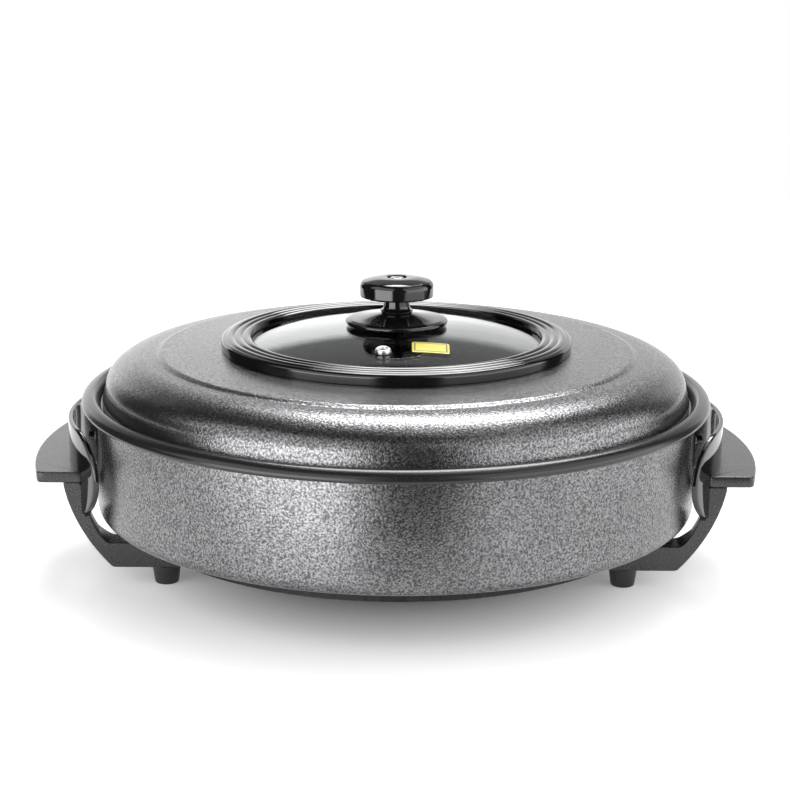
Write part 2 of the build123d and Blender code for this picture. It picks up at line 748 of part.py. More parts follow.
# Window frame: a moulded ring with rounded ridges on top and a rebate for the gasket
with BuildPart() as window_frame:
    with BuildSketch(Plane.XZ):
        with BuildLine():
            foot_radius = frame_outer_radius - frame_wall_bulge
            ridge_start = frame_outer_radius - frame_shoulder_width
            ridge_width = (ridge_start - frame_inner_radius) / frame_ridges
            valley_z = frame_top_z - frame_ridge_drop
            wall_top_z = valley_z - frame_shoulder_height
            Line((gasket_radius, deck_z), (foot_radius, deck_z))
            Line((foot_radius, deck_z), (frame_outer_radius, wall_top_z))
            EllipticalCenterArc(
                (ridge_start, wall_top_z), frame_shoulder_width, frame_shoulder_height, 0, arc_size=90
            )
            for ridge in range(frame_ridges):
                ridge_outer = ridge_start - ridge * ridge_width
                ThreePointArc(
                    (ridge_outer, valley_z),
                    (ridge_outer - ridge_width / 2, frame_top_z),
                    (ridge_outer - ridge_width, valley_z),
                )
            Line((frame_inner_radius, valley_z), (frame_inner_radius, gasket_top_z))
            Line((frame_inner_radius, gasket_top_z), (gasket_radius, gasket_top_z))
            Line((gasket_radius, gasket_top_z), (gasket_radius, deck_z))
        make_face()
    revolve(axis=Axis.Z)
    with BuildSketch(Plane.XY.offset(deck_z)):
        with Locations(*ring_screw_places):
            Circle(small_screw[0] + thread_clearance)
    extrude(amount=ring_screw_bite, mode=Mode.SUBTRACT)
save(window_frame.part, "window_frame")

# Clamp ring below the shell, stepped down under the gasket
with BuildPart() as clamp_ring:
    with BuildSketch(Plane.XZ):
        with BuildLine():
            Polyline(
                (clamp_ring_inner, clamp_ring_z),
                (clamp_ring_outer, clamp_ring_z),
                (clamp_ring_outer, deck_z - lid_sheet),
                (gasket_radius, deck_z - lid_sheet),
                (gasket_radius, gasket_base_z),
                (clamp_ring_inner, gasket_base_z),
                close=True,
            )
        make_face()
    revolve(axis=Axis.Z)
    with BuildSketch(Plane.XY.offset(clamp_ring_z)):
        with Locations(*ring_screw_places):
            Circle(small_screw[0] + hole_clearance)
    extrude(amount=clamp_ring_thickness, mode=Mode.SUBTRACT)
save(clamp_ring.part, "clamp_ring")

with BuildPart() as ring_screws:
    with BuildSketch(Plane.XY.offset(clamp_ring_z)):
        with Locations(*ring_screw_places):
            Circle(small_screw[1])
    extrude(amount=-small_screw[2])
    with BuildSketch(Plane.XY.offset(clamp_ring_z)):
        with Locations(*ring_screw_places):
            Circle(small_screw[0])
    extrude(amount=clamp_ring_thickness + lid_sheet + ring_screw_bite)
save(ring_screws.part, "ring_screws")

# Knob: flange, grip with neck and cap, and the screw, seals, washer and nut that hold it
with BuildPart() as knob_seal:
    with BuildSketch(Plane.XY.offset(flange_z - knob_seal_skirt)):
        Circle(knob_seal_radius)
        Circle(knob_bore, mode=Mode.SUBTRACT)
    extrude(amount=knob_seal_skirt)
    add(window_glass.part, mode=Mode.SUBTRACT)
save(knob_seal.part, "knob_seal")

with BuildPart() as knob_flange:
    with BuildSketch(Plane.XZ):
        with BuildLine():
            lip_base = (flange_radius - flange_lip, flange_z)
            lip_top = (flange_radius - flange_lip, flange_z + flange_edge)
            crown = (flange_crown, knob_foot_z - flange_hub_step)
            Line((knob_bore, flange_z), lip_base)
            ThreePointArc(lip_base, (flange_radius, flange_z + flange_edge / 2), lip_top)
            SagittaArc(lip_top, crown, -flange_bulge)
            Line(crown, (flange_hub, knob_foot_z))
            Line((flange_hub, knob_foot_z), (knob_bore, knob_foot_z))
            Line((knob_bore, knob_foot_z), (knob_bore, flange_z))
        make_face()
    revolve(axis=Axis.Z)
save(knob_flange.part, "knob_flange")

with BuildPart() as knob_grip:
    with BuildSketch(Plane.XZ):
        with BuildLine():
            ridge_z = knob_foot_z + neck_foot_height
            flare_z = ridge_z + neck_flare_height
            shoulder = (cap_radius - cap_edge_radius, cap_top_z - cap_crown)
            side_top = (cap_radius, cap_top_z - cap_crown - cap_edge_radius)
            Line((knob_bore, knob_foot_z), (neck_foot_radius - neck_foot_taper, knob_foot_z))
            Line((neck_foot_radius - neck_foot_taper, knob_foot_z), (neck_foot_radius, ridge_z))
            EllipticalCenterArc(
                (neck_foot_radius, flare_z),
                neck_foot_radius - neck_radius,
                neck_flare_height,
                180,
                arc_size=90,
            )
            Line((neck_radius, flare_z), (neck_radius, cap_base_z))
            Line((neck_radius, cap_base_z), (cap_radius - cap_base_chamfer, cap_base_z))
            Line(
                (cap_radius - cap_base_chamfer, cap_base_z),
                (cap_radius, cap_base_z + cap_base_chamfer),
            )
            Line((cap_radius, cap_base_z + cap_base_chamfer), side_top)
            RadiusArc(side_top, shoulder, -cap_edge_radius)
            SagittaArc(shoulder, (cap_recess_radius, cap_top_z), -cap_bulge)
            Line((cap_recess_radius, cap_top_z), (cap_recess_radius, knob_head_z))
            Line((cap_recess_radius, knob_head_z), (knob_bore, knob_head_z))
            Line((knob_bore, knob_head_z), (knob_bore, knob_foot_z))
        make_face()
    revolve(axis=Axis.Z)
save(knob_grip.part, "knob_grip")

with BuildPart() as knob_screw:
    with BuildSketch(Plane.XY.offset(knob_head_z)):
        Circle(knob_head_radius)
    extrude(amount=knob_head_height)
    fillet(knob_screw.faces().sort_by(Axis.Z)[-1].edges(), knob_head_round)
    with BuildSketch(Plane.XY.offset(knob_head_z)):
        Circle(knob_screw_radius)
    extrude(amount=knob_nut_z - knob_screw_tail - knob_head_z)
save(knob_screw.part, "knob_screw")

with BuildPart() as inner_seal:
    with BuildSketch(Plane.XZ):
        with BuildLine():
            Polyline(
                (knob_bore, inner_seal_z),
                (inner_seal_radius, inner_seal_z),
                (inner_seal_radius, glass_height(inner_seal_radius, glass_thickness)),
                (knob_bore, glass_height(knob_bore, glass_thickness)),
                close=True,
            )
        make_face()
    revolve(axis=Axis.Z)
save(inner_seal.part, "inner_seal")

with BuildPart() as knob_washer:
    with BuildSketch(Plane.XY.offset(knob_washer_z)):
        Circle(knob_washer_radius)
        Circle(knob_bore, mode=Mode.SUBTRACT)
    extrude(amount=knob_washer_thickness)
save(knob_washer.part, "knob_washer")

with BuildPart() as knob_nut:
    with BuildSketch(Plane.XY.offset(knob_nut_z)):
        RegularPolygon(knob_nut_flats / 2, 6, major_radius=False)
        Circle(knob_screw_radius + thread_clearance, mode=Mode.SUBTRACT)
    extrude(amount=knob_nut_height)
save(knob_nut.part, "knob_nut")

# Steam vent: a rolled eyelet square to the glass, on a soft grommet
with BuildPart() as vent_grommet:
    with BuildSketch(vent_seat):
        Circle(grommet_radius)
        Circle(vent_tube_radius, mode=Mode.SUBTRACT)
    extrude(amount=grommet_thickness)
save(vent_grommet.part, "vent_grommet")

with BuildPart() as vent_eyelet:
    with BuildSketch(Plane(vent_seat.origin, x_dir=vent_seat.x_dir, z_dir=-vent_seat.y_dir)):
        with BuildLine():
            vent_edge = grommet_thickness + vent_flange_edge
            vent_tail_end = -glass_thickness - vent_tail
            Polyline(
                (vent_bore, vent_edge),
                (vent_bore, vent_tail_end),
                (vent_tube_radius, vent_tail_end),
                (vent_tube_radius, grommet_thickness),
                (vent_flange_radius, grommet_thickness),
                (vent_flange_radius, vent_edge),
            )
            ThreePointArc(
                (vent_flange_radius, vent_edge),
                ((vent_flange_radius + vent_bore) / 2, grommet_thickness + vent_rise),
                (vent_bore, vent_edge),
            )
        make_face()
    revolve(axis=Axis(vent_seat.origin, vent_seat.z_dir))
save(vent_eyelet.part, "vent_eyelet")

# Plain sticker that follows the glass
with BuildPart() as plain_sticker:
    with BuildSketch(Plane.XY.offset(deck_z)):
        with Locations((sticker_x, sticker_y)):
            RectangleRounded(sticker_width, sticker_depth, sticker_corner)
    extrude(amount=glass_top_z - deck_z)
    with Locations((0, 0, glass_centre_z)):
        Sphere(glass_bend_radius + sticker_thickness, mode=Mode.INTERSECT)
        Sphere(glass_bend_radius, mode=Mode.SUBTRACT)
save(plain_sticker.part, "plain_sticker")
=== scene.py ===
# %% [markdown]
# # An electric multi pan, dressed in Blender
# The imported CAD model gives every piece its place and size. This lesson puts smooth, finished surfaces on
# the pieces that show, gives every piece the material of the real one, except that the bottom cover is dark
# as painted shade, and sets up the studio.
# Lengths in the tables are millimetres, as on a drawing. One factor turns them into Blender's metres.

from math import cos, pi, radians, sin

import bmesh
import bpy
import numpy as np
from mathutils import Matrix, Vector


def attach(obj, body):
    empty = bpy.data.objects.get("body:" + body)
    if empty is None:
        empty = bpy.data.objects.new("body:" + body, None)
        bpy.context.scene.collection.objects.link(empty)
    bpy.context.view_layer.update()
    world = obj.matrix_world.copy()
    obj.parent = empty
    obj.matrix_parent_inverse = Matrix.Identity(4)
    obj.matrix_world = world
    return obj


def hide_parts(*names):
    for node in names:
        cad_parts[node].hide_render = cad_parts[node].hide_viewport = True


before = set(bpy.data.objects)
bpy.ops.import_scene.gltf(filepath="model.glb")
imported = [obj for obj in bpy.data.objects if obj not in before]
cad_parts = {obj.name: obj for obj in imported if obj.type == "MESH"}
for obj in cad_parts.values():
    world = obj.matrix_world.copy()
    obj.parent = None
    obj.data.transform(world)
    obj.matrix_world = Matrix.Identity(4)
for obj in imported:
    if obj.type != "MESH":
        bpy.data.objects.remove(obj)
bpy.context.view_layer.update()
mm = 0.001
print("CAD nodes:", len(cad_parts))

# %% [markdown]
# ## Sizes from the CAD model
# The pieces of this lesson have to fit the model, so their outer sizes are read from its nodes and not
# typed again. What a node's box doesn't tell, such as a hollow or a rounding, is a number of its own.


# %% Sizes from the CAD model
def corners_of(node):
    """The lowest and the highest corner of a CAD node, each (x, y, z) in millimetres, to a tenth."""
    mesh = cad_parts[node].data
    points = np.empty(3 * len(mesh.vertices), np.float32)
    mesh.vertices.foreach_get("co", points)
    points = points.reshape(-1, 3).astype(float) / mm
    return points.min(0).round(1).tolist(), points.max(0).round(1).tolist()


print("pan, lowest and highest corner:", *corners_of("pan"))

# %% [markdown]
# ## Tools for shapes
# Nearly every piece of a pan is turned or pressed, so a shape here is a stack of closed rings of points.
# A turned piece could also be made with the Screw modifier, but a grid that is worked out as one array is
# exact at any fineness, and the same function closes bent plates and stickers too.

# %% A surface from rings
merge_distance = 0.002 * mm
crease_angle = radians(38)


def stitch(ring):
    """Triangles that fill a flat outline, as rows of three point numbers.

    Two walkers start at point 0 and go round in opposite ways. The next step is always the one that leaves
    them closer together: |P(i+1) - P(j)| against |P(i) - P(j-1)|. So the triangles stay inside a bent
    strip, where one face with many corners would be filled across the hollow side."""
    i, j = 0, len(ring) - 1
    corners = []
    while j - i > 1:
        if np.linalg.norm(ring[i + 1] - ring[j]) < np.linalg.norm(ring[i] - ring[j - 1]):
            corners.append((i, i + 1, j))
            i += 1
        else:
            corners.append((i, j - 1, j))
            j -= 1
    return np.array(corners)


def shell(name, rings, loop=False, flat_ends=False):
    """A closed surface through rings of points, given in millimetres.

    rings[i, j] is point j of ring i. The points (i, j), (i, j+1), (i+1, j+1) and (i+1, j) make a face, and
    j wraps round. With loop, i wraps round too, as on a torus. With flat_ends, stitched triangles close
    each end. Otherwise each end ring has shrunk to a point or folded onto itself, and merging closes it."""
    rows, columns = rings.shape[:2]
    index = np.arange(rows * columns).reshape(rows, columns)
    if loop:
        index = np.vstack((index, index[:1]))
    here, there = index[:-1], index[1:]
    quads = np.stack((here, np.roll(here, -1, 1), np.roll(there, -1, 1), there), -1)
    faces = quads.reshape(-1, 4).tolist()
    if flat_ends:
        for end in (0, -1):
            faces += index[end][stitch(rings[end])].tolist()
    mesh = bpy.data.meshes.new(name)
    mesh.from_pydata((rings.reshape(-1, 3) * mm).tolist(), [], faces)
    form = bmesh.new()
    form.from_mesh(mesh)
    bmesh.ops.remove_doubles(form, verts=form.verts, dist=merge_distance)
    bmesh.ops.recalc_face_normals(form, faces=form.faces)
    form.to_mesh(mesh)
    form.free()
    mesh.shade_smooth()
    mesh.set_sharp_from_angle(angle=crease_angle)
    piece = bpy.data.objects.new(name, mesh)
    bpy.context.scene.collection.objects.link(piece)
    print(name, "faces:", len(mesh.polygons))
    return piece


# %% [markdown]
# ## Lines for the shapes
# A drawing of a turned piece is straight lines with rounded corners, arcs and a few shallow curves. Each of
# these has one function here. Blender's Bevel modifier could round the edges afterwards, but a radius that
# is part of the line is exact and costs no modifier.

# %% A line with rounded corners
hold = 0.25


def soften(corners, closed=False, steps=7):
    """Rows (x, y, cut) as one line with rounded corners.

    At corner P the line leaves the side before at distance cut from P, follows the quadratic curve
    (1-t)^2 S + 2t(1-t) P + t^2 E, and joins the side after at the same distance. One more point on each
    side, hold times the cut further out, keeps the shading of the straight sides flat."""
    table = np.array(corners, float)
    point, cut = table[:, :2], table[:, 2:].copy()
    before = np.roll(point, 1, 0) - point
    after = np.roll(point, -1, 0) - point
    if not closed:
        cut[[0, -1]] = 0
    before /= np.linalg.norm(before, axis=1, keepdims=True)
    after /= np.linalg.norm(after, axis=1, keepdims=True)
    start, stop = point + cut * before, point + cut * after
    t = np.linspace(0, 1, steps)[:, None]
    curve = (1 - t) ** 2 * start[:, None] + 2 * t * (1 - t) * point[:, None] + t**2 * stop[:, None]
    first = (start + hold * cut * before)[:, None]
    last = (stop + hold * cut * after)[:, None]
    return np.concatenate((first, curve, last), 1).reshape(-1, 2)


print("points at each rounded corner:", len(soften([(0, 0, 1), (9, 0, 1), (9, 9, 1)], closed=True)) // 3)


# %% Arcs and shallow curves
def arc(centre, size, start, stop, steps):
    """Points centre + (width cos a, height sin a), with a in degrees from start to stop."""
    a = np.radians(np.linspace(start, stop, steps))
    return np.stack((centre[0] + size[0] * np.cos(a), centre[1] + size[1] * np.sin(a)), 1)


def through(start, middle, stop, steps=40):
    """The parabola through three points: the quadratic that passes them at t = 0, 1/2 and 1."""
    t = np.linspace(0, 1, steps)[:, None]
    weights = (1 - t) * (1 - 2 * t), 4 * t * (1 - t), t * (2 * t - 1)
    return sum(w * np.array(p, float) for w, p in zip(weights, (start, middle, stop)))


print("the middle of a quarter circle:", arc((0, 0), (1, 1), 0, 90, 3)[1].round(3))


# %% An outline with soft corners
def round_off(outline, reach, steps):
    """The closed outline in even steps, each point averaged with its neighbours by a bell curve.

    reach is the bell's width. In the frequency domain that average is one factor for each frequency f,
    exp(-2 (pi f reach)^2)."""
    closed = np.vstack((outline, outline[:1]))
    length = np.concatenate(([0], np.cumsum(np.hypot(*np.diff(closed, axis=0).T))))
    even = np.linspace(0, length[-1], steps, endpoint=False)
    path = np.interp(even, length, closed[:, 0]) + 1j * np.interp(even, length, closed[:, 1])
    frequency = np.fft.fftfreq(steps, length[-1] / steps)
    soft = np.fft.ifft(np.fft.fft(path) * np.exp(-2 * (pi * frequency * reach) ** 2))
    return np.stack((soft.real, soft.imag), 1)


sample = round_off(np.array([(0, 0), (9, 0), (9, 9)]), 1.0, steps=60)
print("a triangle with soft corners has", len(sample), "points")


# %% [markdown]
# ## Turned pieces and slabs
# A turned piece is one line carried round the Z axis. A slab is a flat outline that shrinks a little, ring
# by ring, towards each face, which rounds its edges.

# %% Turned pieces and slabs
face_inset = 1.15


def lathe(name, profile, steps, loop=False):
    """A profile turned round the Z axis: (r, z) at turn a goes to (r cos a, r sin a, z)."""
    a = np.linspace(0, 2 * pi, steps, endpoint=False)
    r, z = profile[:, :1], profile[:, 1:]
    return shell(name, np.stack((r * np.cos(a), r * np.sin(a), z + 0 * a), -1), loop)


def slab(outline, low, high, edge, steps=6):
    """Rings (u, v, height) of a flat slab with rounded edges.

    Ring by ring the outline moves inwards along its normal by edge (1 - sin a), while the height is
    edge (1 - cos a) from the face, for a from 0 to 90 degrees, first at the low face, then at the high one.
    One more ring in each face, face_inset times the edge inwards, keeps the face's shading flat."""
    along = np.roll(outline, -1, 0) - np.roll(outline, 1, 0)
    along /= np.linalg.norm(along, axis=1, keepdims=True)
    inwards = np.stack((-along[:, 1], along[:, 0]), 1)
    u, v = outline.T
    inwards *= np.sign(np.sum(u * np.roll(v, -1) - v * np.roll(u, -1)))
    a = np.radians(np.linspace(0, 90, steps))
    inset = np.concatenate(([edge * face_inset], edge * (1 - np.sin(a))))
    rise = np.concatenate(([0], edge * (1 - np.cos(a))))
    inset = np.concatenate((inset, inset[::-1]))[:, None, None]
    height = np.concatenate((low + rise, (high - rise)[::-1]))
    flat = outline + inset * inwards
    return np.dstack((flat, np.broadcast_to(height[:, None], flat.shape[:2])))


print("rings of a slab:", len(slab(sample, 0, 1, 0.1)))

# %% [markdown]
# ## Tools for materials
# Colours are written as on a paint chart, in sRGB hex, and Blender wants them linear. Patterns are sized
# in millimetres: a texture that repeats every so many millimetres has a scale of 1 over that, in metres.


# %% Nodes and colours
def linear(colour):
    """An sRGB hex colour as linear RGBA: c/12.92 for dark values, ((c + 0.055)/1.055)^2.4 for the rest."""
    srgb = np.array([int(colour[i : i + 2], 16) for i in (1, 3, 5)]) / 255
    value = np.where(srgb <= 0.04045, srgb / 12.92, ((srgb + 0.055) / 1.055) ** 2.4)
    return (*value.tolist(), 1.0)


def fill(tree, node, **sockets):
    """Fill a node's inputs, by name or as i0, i1 by place.

    A socket's value is a number, a colour or another node's output, which is then linked."""
    for key, value in sockets.items():
        place = int(key[1:]) if key[0] == "i" and key[1:].isdigit() else key.replace("_", " ")
        if isinstance(value, bpy.types.NodeSocket):
            tree.links.new(value, node.inputs[place])
        else:
            node.inputs[place].default_value = value


def add(tree, kind, settings=None, **sockets):
    """A new node. settings are its properties, and sockets its inputs."""
    node = tree.nodes.new("ShaderNode" + kind)
    for key, value in (settings or {}).items():
        setattr(node, key, value)
    fill(tree, node, **sockets)
    return node


def every(millimetres):
    """The scale of a pattern that repeats every so many millimetres."""
    return 1 / (millimetres * mm)


def new_material(name):
    """An empty material, its node tree, its surface shader and the object coordinates."""
    material = bpy.data.materials.new(name)
    material.use_nodes = True
    tree = material.node_tree
    place = add(tree, "TexCoord").outputs["Object"]
    return material, tree, tree.nodes["Principled BSDF"], place


def ramp(tree, value, low, high, dark, light):
    """A colour between dark and light as value goes from low to high."""
    span = add(tree, "MapRange", Value=value, From_Min=low, From_Max=high).outputs["Result"]
    mix = add(tree, "Mix", {"data_type": "RGBA"}, Factor=span, i6=linear(dark), i7=linear(light))
    return mix.outputs[2]


print("mid grey #808080 in linear light:", round(linear("#808080")[0], 3))


# %% [markdown]
# ## Hammer finish on the pan and the lid
# The real coat is a silver-grey paint with aluminium flakes that draws itself into small dimples as it
# dries. It glitters, because each dimple mirrors the lamps from another angle. It could be an image, but
# noises in object coordinates have no seam anywhere: a fine one gives the dimples, with painted shade in
# their hollows and painted light on their crowns, and a wide one lets the tone drift slowly.


# %% Hammer finish
def hammer_finish():
    """Stoved hammer paint on spun or cast aluminium: metallic, half glossy, dimpled every 1.2 mm."""
    material, tree, shader, place = new_material("hammer_paint_on_aluminium")
    dimples = add(tree, "TexNoise", Vector=place, Scale=every(1.2), Detail=2.0, Roughness=0.5)
    drift = add(tree, "TexNoise", Vector=place, Scale=every(40), Detail=2.0)
    # The grain colour follows the dimples' height: painted shade in the hollows, painted light on the
    # crowns.
    grain = ramp(tree, dimples.outputs[0], 0.36, 0.64, "#4b4b4d", "#8e8e8f")
    patch = ramp(tree, drift.outputs[0], 0.3, 0.7, "#efefef", "#ffffff")
    multiply = {"data_type": "RGBA", "blend_type": "MULTIPLY"}
    mixed = add(tree, "Mix", multiply, Factor=1.0, i6=grain, i7=patch)
    bump = add(tree, "Bump", Strength=1.0, Distance=0.15 * mm, Height=dimples.outputs[0])
    fill(tree, shader, Base_Color=mixed.outputs[2], Metallic=0.95, Roughness=0.27, Normal=bump.outputs[0])
    return material


hammer_paint = hammer_finish()
print("material:", hammer_paint.name)


# %% [markdown]
# ## Cooking coat on the rim and inside
# A sprayed and baked PTFE coat is charcoal grey and satin, with a very fine orange skin. A rough plastic
# shader with a tight bump gives that, and a second, wider noise keeps the gloss from looking even.


# %% Cooking coat
def coat_finish():
    """Sprayed and baked non-stick coat: satin, charcoal, fine orange skin every 0.9 mm."""
    material, tree, shader, place = new_material("baked_nonstick_coat")
    skin = add(tree, "TexNoise", Vector=place, Scale=every(0.9), Detail=2.0)
    cloud = add(tree, "TexNoise", Vector=place, Scale=every(30), Detail=2.0)
    colour = ramp(tree, skin.outputs[0], 0.3, 0.7, "#18181a", "#212122")
    gloss = add(tree, "MapRange", Value=cloud.outputs[0], To_Min=0.2, To_Max=0.27)
    bump = add(tree, "Bump", Strength=0.5, Distance=0.06 * mm, Height=skin.outputs[0])
    fill(tree, shader, Base_Color=colour, Roughness=gloss.outputs[0], Normal=bump.outputs[0])
    return material


cooking_coat = coat_finish()
print("material:", cooking_coat.name)


# %% [markdown]
# ## Black mouldings
# Knob, frame, guards, grips and legs are phenolic and polyamide mouldings from polished or satin moulds.
# All are black: what the eye sees is mostly the room in their surface. The polished ones are smoother and
# a deeper black than the satin ones, and all get a faint wave, because no moulding is perfectly flat.
# The rubber of the seals is made the same way and gets the same function.


# %% Black mouldings
def moulded_finish(name, dark, light, roughness, wave_height, grain_height):
    """Moulded thermoset or polyamide: black, IOR 1.6, slow waves every 14 mm and a skin every 0.6 mm.

    The grain of a real mould is finer than 0.2 mm. It is drawn coarser, so that it shows."""
    material, tree, shader, place = new_material(name)
    wave = add(tree, "TexNoise", Vector=place, Scale=every(14), Detail=1.0)
    grain = add(tree, "TexNoise", Vector=place, Scale=every(0.6), Detail=1.0)
    colour = ramp(tree, wave.outputs[0], 0.3, 0.7, dark, light)
    smooth, rough = 0.8 * roughness, 1.2 * roughness
    gloss = add(tree, "MapRange", Value=grain.outputs[0], To_Min=smooth, To_Max=rough)
    slow = add(tree, "Bump", Strength=1.0, Distance=wave_height * mm, Height=wave.outputs[0])
    fine = add(tree, "Bump", Strength=1.0, Distance=grain_height * mm, Height=grain.outputs[0])
    fill(tree, fine, Normal=slow.outputs[0])
    fill(tree, shader, Base_Color=colour, Roughness=gloss.outputs[0], IOR=1.6, Normal=fine.outputs[0])
    return material


polished_black = moulded_finish("polished_black_phenolic", "#0f0f10", "#151516", 0.05, 0.05, 0.0004)
satin_black = moulded_finish("satin_black_polyamide", "#232324", "#2b2b2c", 0.27, 0.05, 0.005)
foot_black = moulded_finish("matt_black_polyamide", "#111112", "#171718", 0.42, 0.04, 0.01)
seal_black = moulded_finish("black_silicone_rubber", "#0e0e0f", "#151516", 0.55, 0.02, 0.008)
print("materials:", polished_black.name, satin_black.name, foot_black.name, seal_black.name)


# %% [markdown]
# ## Glass
# The window is tempered soda-lime glass, polished on both faces. It is a closed solid 4 mm thick, so the
# shader's own IOR bends the light at both faces. A tiny wave stands for the roller marks of tempering.


# %% Glass
def glass_finish():
    """Tempered soda-lime glass, IOR 1.52, clear with a slight grey, roller waves every 45 mm."""
    material, tree, shader, place = new_material("tempered_soda_lime_glass")
    wave = add(tree, "TexNoise", Vector=place, Scale=every(45), Detail=0.0)
    bump = add(tree, "Bump", Strength=1.0, Distance=0.03 * mm, Height=wave.outputs[0])
    fill(tree, shader, Base_Color=linear("#e6eaea"), Roughness=0.0, IOR=1.52, Transmission_Weight=1.0)
    fill(tree, shader, Normal=bump.outputs[0])
    return material


window_finish = glass_finish()
print("material:", window_finish.name)


# %% [markdown]
# ## Bare metals
# The inside of the lid, the screws and the heating parts are bare metal. Spun metal has fine rings, from a
# noise of the distance to the axis. Rolled sheet and drawn brass have straight grain, from a noise that is
# stretched along it, and the tube of the heater has heat marks, which are wider patches. Real grain is a
# few hundredths of a millimetre wide, too fine to show, so it is drawn some tenths wide.


# %% Bare metals
def metal_finish(name, dark, light, roughness, grain=(0.3, 0.3, 0.3), relief=0.004):
    """Bare metal with grain of these sizes in mm along X, Y and Z: uneven in colour, gloss and height."""
    material, tree, shader, place = new_material(name)
    stretched = add(tree, "Mapping", Vector=place, Scale=[every(size) for size in grain])
    lines = add(tree, "TexNoise", Vector=stretched.outputs[0], Scale=1.0, Detail=2.0)
    colour = ramp(tree, lines.outputs[0], 0.3, 0.7, dark, light)
    smooth, rough = 0.8 * roughness, 1.25 * roughness
    gloss = add(tree, "MapRange", Value=lines.outputs[0], To_Min=smooth, To_Max=rough)
    bump = add(tree, "Bump", Strength=1.0, Distance=relief * mm, Height=lines.outputs[0])
    fill(tree, shader, Base_Color=colour, Roughness=gloss.outputs[0], Metallic=1.0, Normal=bump.outputs[0])
    return material


def spun_finish():
    """Spun aluminium: rings left by the roller every 0.8 mm, from a noise of the distance to the axis."""
    material, tree, shader, place = new_material("spun_aluminium")
    flat = add(tree, "VectorMath", {"operation": "MULTIPLY"}, i0=place, i1=(1, 1, 0))
    radius = add(tree, "VectorMath", {"operation": "LENGTH"}, i0=flat.outputs[0])
    rings = add(tree, "TexNoise", {"noise_dimensions": "1D"}, W=radius.outputs["Value"], Scale=every(0.8))
    colour = ramp(tree, rings.outputs[0], 0.3, 0.7, "#b9babb", "#d6d7d8")
    bump = add(tree, "Bump", Strength=1.0, Distance=0.012 * mm, Height=rings.outputs[0])
    fill(tree, shader, Base_Color=colour, Metallic=1.0, Roughness=0.3, Normal=bump.outputs[0])
    return material


spun_aluminium = spun_finish()
bright_steel = metal_finish("nickel_plated_steel", "#b4b5b8", "#d2d3d6", 0.14)
rolled_steel = metal_finish("rolled_steel_sheet", "#9b9c9e", "#b6b7b9", 0.35, (6, 0.25, 6))
# Painted shade: the bottom cover's rolled steel is made dark, to stand for the shade under the pan.
shade_dark_steel = metal_finish("blued_steel_sheet", "#2c2c2e", "#3c3c3e", 0.5, (6, 0.25, 6))
oxidised_steel = metal_finish("heat_marked_steel_tube", "#4d4c48", "#77756f", 0.45, (3, 3, 3), 0.01)
drawn_brass = metal_finish("drawn_brass", "#b6924f", "#d0ae69", 0.28, (8, 0.3, 0.3))
tumbled_aluminium = metal_finish("tumbled_aluminium", "#dedee0", "#f2f2f3", 0.3)
plated_pin = metal_finish("nickel_plated_brass", "#c9cacc", "#e2e3e5", 0.12)
print("materials so far:", len(bpy.data.materials))


# %% [markdown]
# ## Ceramic and printed film
# The small bushes are fired steatite, chalky and pale. The sticker is a plain yellow film with one printed
# line inside its edge. The line needs no image: at each point the larger of the distances |x| and |y| past
# the line's inner corner says whether the ink is there. The grain of both is finer in truth than it is
# drawn here, so that it shows.


# %% Ceramic and film
def ceramic_finish():
    """Fired steatite: chalky, off-white, open grain every 0.5 mm."""
    material, tree, shader, place = new_material("fired_steatite")
    grain = add(tree, "TexNoise", Vector=place, Scale=every(0.5), Detail=3.0)
    colour = ramp(tree, grain.outputs[0], 0.3, 0.7, "#dedbd0", "#efece3")
    bump = add(tree, "Bump", Strength=1.0, Distance=0.02 * mm, Height=grain.outputs[0])
    fill(tree, shader, Base_Color=colour, Roughness=0.7, Normal=bump.outputs[0])
    return material


(sticker_left, sticker_front, _), (sticker_right, sticker_back, _) = corners_of("plain_sticker")
sticker_x, sticker_y = (sticker_left + sticker_right) / 2, (sticker_front + sticker_back) / 2
sticker_width, sticker_depth = sticker_right - sticker_left, sticker_back - sticker_front


def film_finish():
    """Printed vinyl film: yellow ink, mottled every 2 mm, one brown line, under a satin lacquer."""
    material, tree, shader, place = new_material("printed_vinyl_film")
    mottle = add(tree, "TexNoise", Vector=place, Scale=every(2), Detail=3.0)
    ink = ramp(tree, mottle.outputs[0], 0.3, 0.7, "#e6d64a", "#f1e35e")
    middle = (sticker_x * mm, sticker_y * mm, 0)
    centred = add(tree, "VectorMath", {"operation": "SUBTRACT"}, i0=place, i1=middle).outputs[0]
    mirrored = add(tree, "VectorMath", {"operation": "ABSOLUTE"}, i0=centred).outputs[0]
    margin, line = 2.2, 0.9
    corner = ((sticker_width / 2 - margin) * mm, (sticker_depth / 2 - margin) * mm, 1)
    past = add(tree, "VectorMath", {"operation": "SUBTRACT"}, i0=mirrored, i1=corner).outputs[0]
    parts = add(tree, "SeparateXYZ", Vector=past).outputs
    reach = add(tree, "Math", {"operation": "MAXIMUM"}, i0=parts[0], i1=parts[1]).outputs[0]
    outside = add(tree, "Math", {"operation": "GREATER_THAN"}, i0=reach, i1=0.0).outputs[0]
    printed = add(tree, "Math", {"operation": "LESS_THAN"}, i0=reach, i1=line * mm).outputs[0]
    share = add(tree, "Math", {"operation": "MULTIPLY"}, i0=outside, i1=printed).outputs[0]
    colour = add(tree, "Mix", {"data_type": "RGBA"}, Factor=share, i6=ink, i7=linear("#77702a"))
    bump = add(tree, "Bump", Strength=1.0, Distance=0.01 * mm, Height=mottle.outputs[0])
    fill(tree, shader, Base_Color=colour.outputs[2], Roughness=0.32, Normal=bump.outputs[0])
    return material


steatite = ceramic_finish()
yellow_film = film_finish()
print("material:", steatite.name, yellow_film.name)
